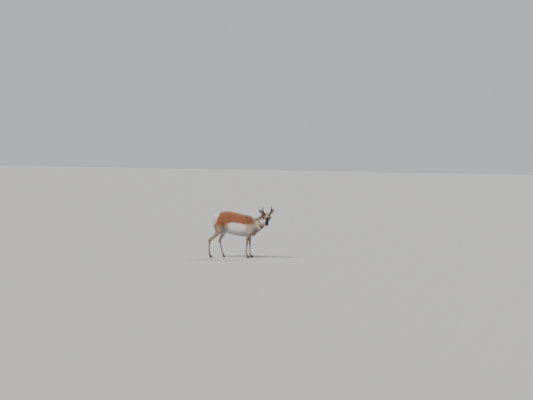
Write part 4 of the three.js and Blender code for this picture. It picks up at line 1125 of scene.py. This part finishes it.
class PRONGHORN_OT_coat(bpy.types.Operator):
    """Short coat: tufts that follow the lie of the hair, smallest on face and feet"""

    bl_idname = "pronghorn.coat"
    bl_label = "Coat"

    def execute(self, context):
        skin = bpy.data.objects["skin"]
        settings = context.scene.pronghorn_coat
        guides = coat_guides()
        material = hair_material("coat_hair", streak=700.0, strength=0.30, bump=0.0)
        for kind, tufts, rings in (("long", settings.long_tufts, 2), ("short", settings.short_tufts, 1)):

            def density(centre, kind=kind):
                points = centre - SHIFT
                _, length, width, _ = coat_lie(points, guides)
                share = self.short_share(points)
                share = share if kind == "short" else 1 - share
                return share * (1 - self.bare(points)) / (length * width)

            at, normal, uv = scatter(skin, tufts // (1), density, seed=11 + rings)
            points = at - SHIFT
            lie, length, width, lift = coat_lie(points, guides)
            rng = np.random.default_rng(14 + rings)
            lie = along_skin(lie, normal, rng, spread=0.16)
            length = length * np.exp(rng.normal(0, 0.16, len(at)))
            width = width * np.exp(rng.normal(0, 0.14, len(at)))
            lift = np.clip(lift + rng.normal(0, 0.05, len(at)), 0.03, 0.5)
            colours = marking_colours(points, normal)
            for name, chosen in self.split(points, kind).items():
                if not chosen.any():
                    continue
                # Long tufts are painted with deeper shade at their roots than short ones.
                piece = tuft_mesh(f"coat_{name}", at[chosen], lie[chosen], normal[chosen], length[chosen],
                                  width[chosen], lift[chosen], colours[chosen], uv[chosen], rings=rings,
                                  painted_root_shade=0.70 if kind == "long" else 0.86,
                                  tip_shade=1.12 if kind == "long" else 1.04, seed=17)
                if len(piece.data.polygons) > PIECE_LIMIT:
                    raise RuntimeError(f"{piece.name} has {len(piece.data.polygons)} triangles")
                piece.data.materials.append(material)
                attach(piece, "root")
        return {"FINISHED"}

    def short_share(self, points):
        """1 where the hair is short: head, ears and lower legs. 0 on trunk and neck."""
        x, y, z = points.T
        near = np.linalg.norm(points - head_place(0.12, 0, 0), axis=1)
        head = smooth(into_head(points)[:, 0], -0.01, 0.03) * (near < 0.27)
        ears = np.zeros(len(points), bool)
        for side in SIDES:
            ears |= from_ear(points, side) < 0.085
        legs = (1 - smooth(z, 0.44, 0.52)) * ((np.abs(y) > 0.045) | (z < 0.42)) * ((x > 0.2) | (x < -0.12))
        return np.maximum(np.maximum(head, ears), legs)

    def bare(self, points):
        """Where no hair grows: nose pad and the openings of the lids."""
        bare = nose_pad(into_head(points)) < 0.95
        for side, s in SIDES.items():
            gaze, along, upward = eye_axes(s)
            q = points - (EYES[side] - SHIFT)
            inside = ((q @ along) / HAIRLINE[0]) ** 2 + ((q @ upward) / HAIRLINE[1]) ** 2 < 1
            bare |= inside & (q @ gaze > 0) & (np.linalg.norm(q, axis=1) < 0.03)
        return bare.astype(float)

    def split(self, points, kind):
        """Pieces of the coat by part of the body, each under the size limit."""
        x, y = points[:, 0], points[:, 1]
        if kind == "short":
            head = np.linalg.norm(points - head_place(0.1, 0, 0.03), axis=1) < 0.3
            front = into_head(points)[:, 0] > 0.075
            return {"face": head & front, "crown_and_ears": head & ~front,
                    "forelegs": ~head & (x > 0), "hind_legs": ~head & (x <= 0)}
        neck = past_neck_root(points) > 0
        parts = {"neck": neck}
        for side, s in SIDES.items():
            mine = ~neck & (y * s >= 0)
            parts[f"haunch_{side}"] = mine & (x < -0.2)
            parts[f"flank_{side}"] = mine & (x >= -0.2) & (x < 0.1)
            parts[f"shoulder_{side}"] = mine & (x >= 0.1)
        return parts


class PRONGHORN_OT_mane(bpy.types.Operator):
    """Mane along the nape, hair of the tail and fringe of the ears"""

    bl_idname = "pronghorn.mane"
    bl_label = "Mane, tail and ear hair"

    def execute(self, context):
        skin = bpy.data.objects["skin"]
        material = hair_material("long_hair", streak=500.0, strength=0.35, bump=0.0, roughness=0.6)
        fewer = 1
        self.mane(skin, NAPE_STRANDS // fewer, material)
        self.tail(skin, TAIL_STRANDS // fewer, material)
        self.ears(skin, EAR_STRANDS // fewer, material)
        return {"FINISHED"}

    def mane(self, skin, count, material):
        """Stiff hair on the nape, darker towards the head."""
        crest = np.array(CREST)

        def on_nape(centre):
            away, t = nearest_on(centre - SHIFT, crest)
            return (1 - smooth(away, 0.018, 0.03)) * smooth(t, 0.12, 0.3)

        at, normal, uv = scatter(skin, count, on_nape, seed=21)
        lie, *_ = coat_lie(at - SHIFT, coat_guides())
        rng = np.random.default_rng(22)
        lie = along_skin(lie, normal, rng, spread=0.14)
        _, t = nearest_on(at - SHIFT, crest)
        length = (0.040 + 0.022 * np.sin(math.pi * np.clip(t, 0, 1))) * np.exp(rng.normal(0, 0.18, count))
        high = smooth(t, 0.25, 0.7)[:, None]
        colours = (1 - high) * np.array(SHADES["low_mane"]) + high * np.array(SHADES["high_mane"])
        colours = colours * np.exp(rng.normal(0, 0.25, (count, 1)))
        self.add("mane", at, lie, normal, length, colours, uv, material,
                 width=0.0022, lift=0.42, rings=4, droop=0.05, seed=23)

    def tail(self, skin, count, material):
        """Hair that hangs from the tail."""
        def on_tail(centre):
            x, y, z = (centre - SHIFT).T
            return (x < -0.428) * (np.abs(y) < 0.045) * (z > 0.68) * (z < 0.81)

        at, normal, uv = scatter(skin, count, on_tail, seed=31)
        rng = np.random.default_rng(32)
        lie = along_skin(np.repeat([[-0.1, 0, -1.0]], count, 0), normal, rng, spread=0.12)
        length = 0.026 * np.exp(rng.normal(0, 0.2, count))
        colours = marking_colours(at - SHIFT, normal)
        self.add("tail_hair", at, lie, normal, length, colours, uv, material,
                 width=0.0024, lift=0.07, rings=3, droop=0.02, seed=33)

    def ears(self, skin, count, material):
        """Pale fringe inside the ears."""
        def on_ears(centre):
            p = centre - SHIFT
            found = np.zeros(len(p))
            for side in SIDES:
                root, line, _ = ear_frame(side)
                t = (p - root) @ line / EAR_LENGTH
                away = np.linalg.norm(p - root - np.outer(t * EAR_LENGTH, line), axis=1)
                found += (t > 0.10) * (t < 0.78) * (away < 0.045)
            return found

        at, normal, uv = scatter(skin, count, on_ears, seed=41)
        points = at - SHIFT
        keep = np.zeros(count, bool)
        lie = np.zeros((count, 3))
        for side in SIDES:
            root, line, opening = ear_frame(side)
            near = np.linalg.norm(points - root - line * 0.09, axis=1) < 0.1
            inner = near & (normal @ opening > 0.1)
            keep |= inner
            across = np.cross(line, opening)
            to_middle = -np.sign((points - root) @ across)[:, None] * across
            lie[inner] = unit(line * 0.9 + to_middle[inner] * 0.22 + opening * 0.12)
        at, normal, uv, lie = at[keep], normal[keep], uv[keep], lie[keep]
        rng = np.random.default_rng(42)
        length = 0.016 * np.exp(rng.normal(0, 0.25, len(at)))
        colours = np.array(SHADES["ear_hair"]) * np.exp(rng.normal(0, 0.1, (len(at), 1)))
        lie = unit(lie + rng.normal(0, 0.12, lie.shape))
        self.add("ear_hair", at, lie, normal, length, colours, uv, material,
                 width=0.0009, lift=0.16, rings=3, droop=0.0, seed=43)

    def add(self, name, at, lie, normal, length, colours, uv, material, *, width, lift, rings, droop, seed):
        """One piece of strands of the same width and lift."""
        piece = tuft_mesh(name, at, lie, normal, length, np.full(len(at), width), np.full(len(at), lift),
                          colours, uv, rings=rings, droop=droop, seed=seed)
        piece.data.materials.append(material)
        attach(piece, "root")


class PRONGHORN_OT_stage(bpy.types.Operator):
    """Pale floor, soft studio light and the camera"""

    bl_idname = "pronghorn.stage"
    bl_label = "Stage"

    def execute(self, context):
        settings = context.scene.pronghorn_stage
        bpy.ops.object.select_all(action="DESELECT")
        bpy.ops.mesh.primitive_plane_add(size=400, location=(0, 0, 0))
        floor = context.object
        floor.name = "floor"
        material, _, shader = new_material("pale_floor", roughness=0.9, specular=0.1)
        shader.inputs["Base Color"].default_value = (*SHADES["floor"], 1)
        floor.data.materials.append(material)
        world = bpy.data.worlds.new("soft_room")
        context.scene.world = world
        world.use_nodes = True
        background = world.node_tree.nodes["Background"]
        background.inputs["Color"].default_value = (*SHADES["room"], 1)
        background.inputs["Strength"].default_value = settings.room_strength
        self.sun("key_light", (-0.55, -0.75, 1.0), settings.key_strength, width=14)
        self.sun("rim_light", (0.4, 0.9, 0.8), settings.key_strength * 0.25, width=20)
        self.camera(settings)
        return {"FINISHED"}

    def sun(self, name, source, strength, width):
        """A distant soft light, so many degrees wide, that shines from the source's direction."""
        x, y, z = source
        bpy.ops.object.light_add(type="SUN", location=(2 * x, 2 * y, 2 * z))
        lamp = bpy.context.object
        lamp.name = name
        lamp.data.energy = strength
        lamp.data.angle = math.radians(width)
        lamp.data.color = SHADES[name]
        lamp.rotation_euler = (math.atan2(math.hypot(x, y), z), 0, math.atan2(x, -y))

    def camera(self, settings):
        """A distant camera on the animal's right side, a little above it."""
        x, y, z = CAMERA_PLACE
        bpy.ops.object.camera_add(location=(x + SHIFT[0], y + SHIFT[1], z))
        camera = bpy.context.object
        camera.name = "camera"
        camera.data.lens = settings.lens
        camera.data.sensor_width = 36.0
        camera.data.clip_end = 500
        camera.rotation_euler = (math.radians(90 - CAMERA_DOWN), math.radians(CAMERA_ROLL), 0)
        bpy.context.scene.camera = camera


class PRONGHORN_PT_panel(bpy.types.Panel):
    """The pieces of the pronghorn, in the order in which they are made"""

    bl_label = "Pronghorn"
    bl_idname = "PRONGHORN_PT_panel"
    bl_space_type = "VIEW_3D"
    bl_region_type = "UI"
    bl_category = "Pronghorn"

    def draw(self, context):
        for group in ("pronghorn_coat", "pronghorn_horn", "pronghorn_stage"):
            settings = getattr(context.scene, group)
            box = self.layout.box()
            for name in settings.bl_rna.properties.keys():
                if name not in ("rna_type", "name"):
                    box.prop(settings, name)
        for operator in OPERATORS:
            self.layout.operator(operator.bl_idname)


SETTINGS = {"pronghorn_coat": CoatSettings, "pronghorn_horn": HornSettings, "pronghorn_stage": StageSettings}
OPERATORS = (PRONGHORN_OT_stage, PRONGHORN_OT_skin, PRONGHORN_OT_horns, PRONGHORN_OT_eyes,
             PRONGHORN_OT_hooves, PRONGHORN_OT_coat, PRONGHORN_OT_mane)


def register():
    for kind in (*SETTINGS.values(), *OPERATORS, PRONGHORN_PT_panel):
        bpy.utils.register_class(kind)
    for name, kind in SETTINGS.items():
        setattr(bpy.types.Scene, name, PointerProperty(type=kind))


def unregister():
    for name in SETTINGS:
        delattr(bpy.types.Scene, name)
    for kind in (PRONGHORN_PT_panel, *reversed(OPERATORS), *SETTINGS.values()):
        bpy.utils.unregister_class(kind)


def main():
    register()
    for operator in OPERATORS:
        group, name = operator.bl_idname.split(".")
        getattr(getattr(bpy.ops, group), name)()


if __name__ == "__main__":
    main()
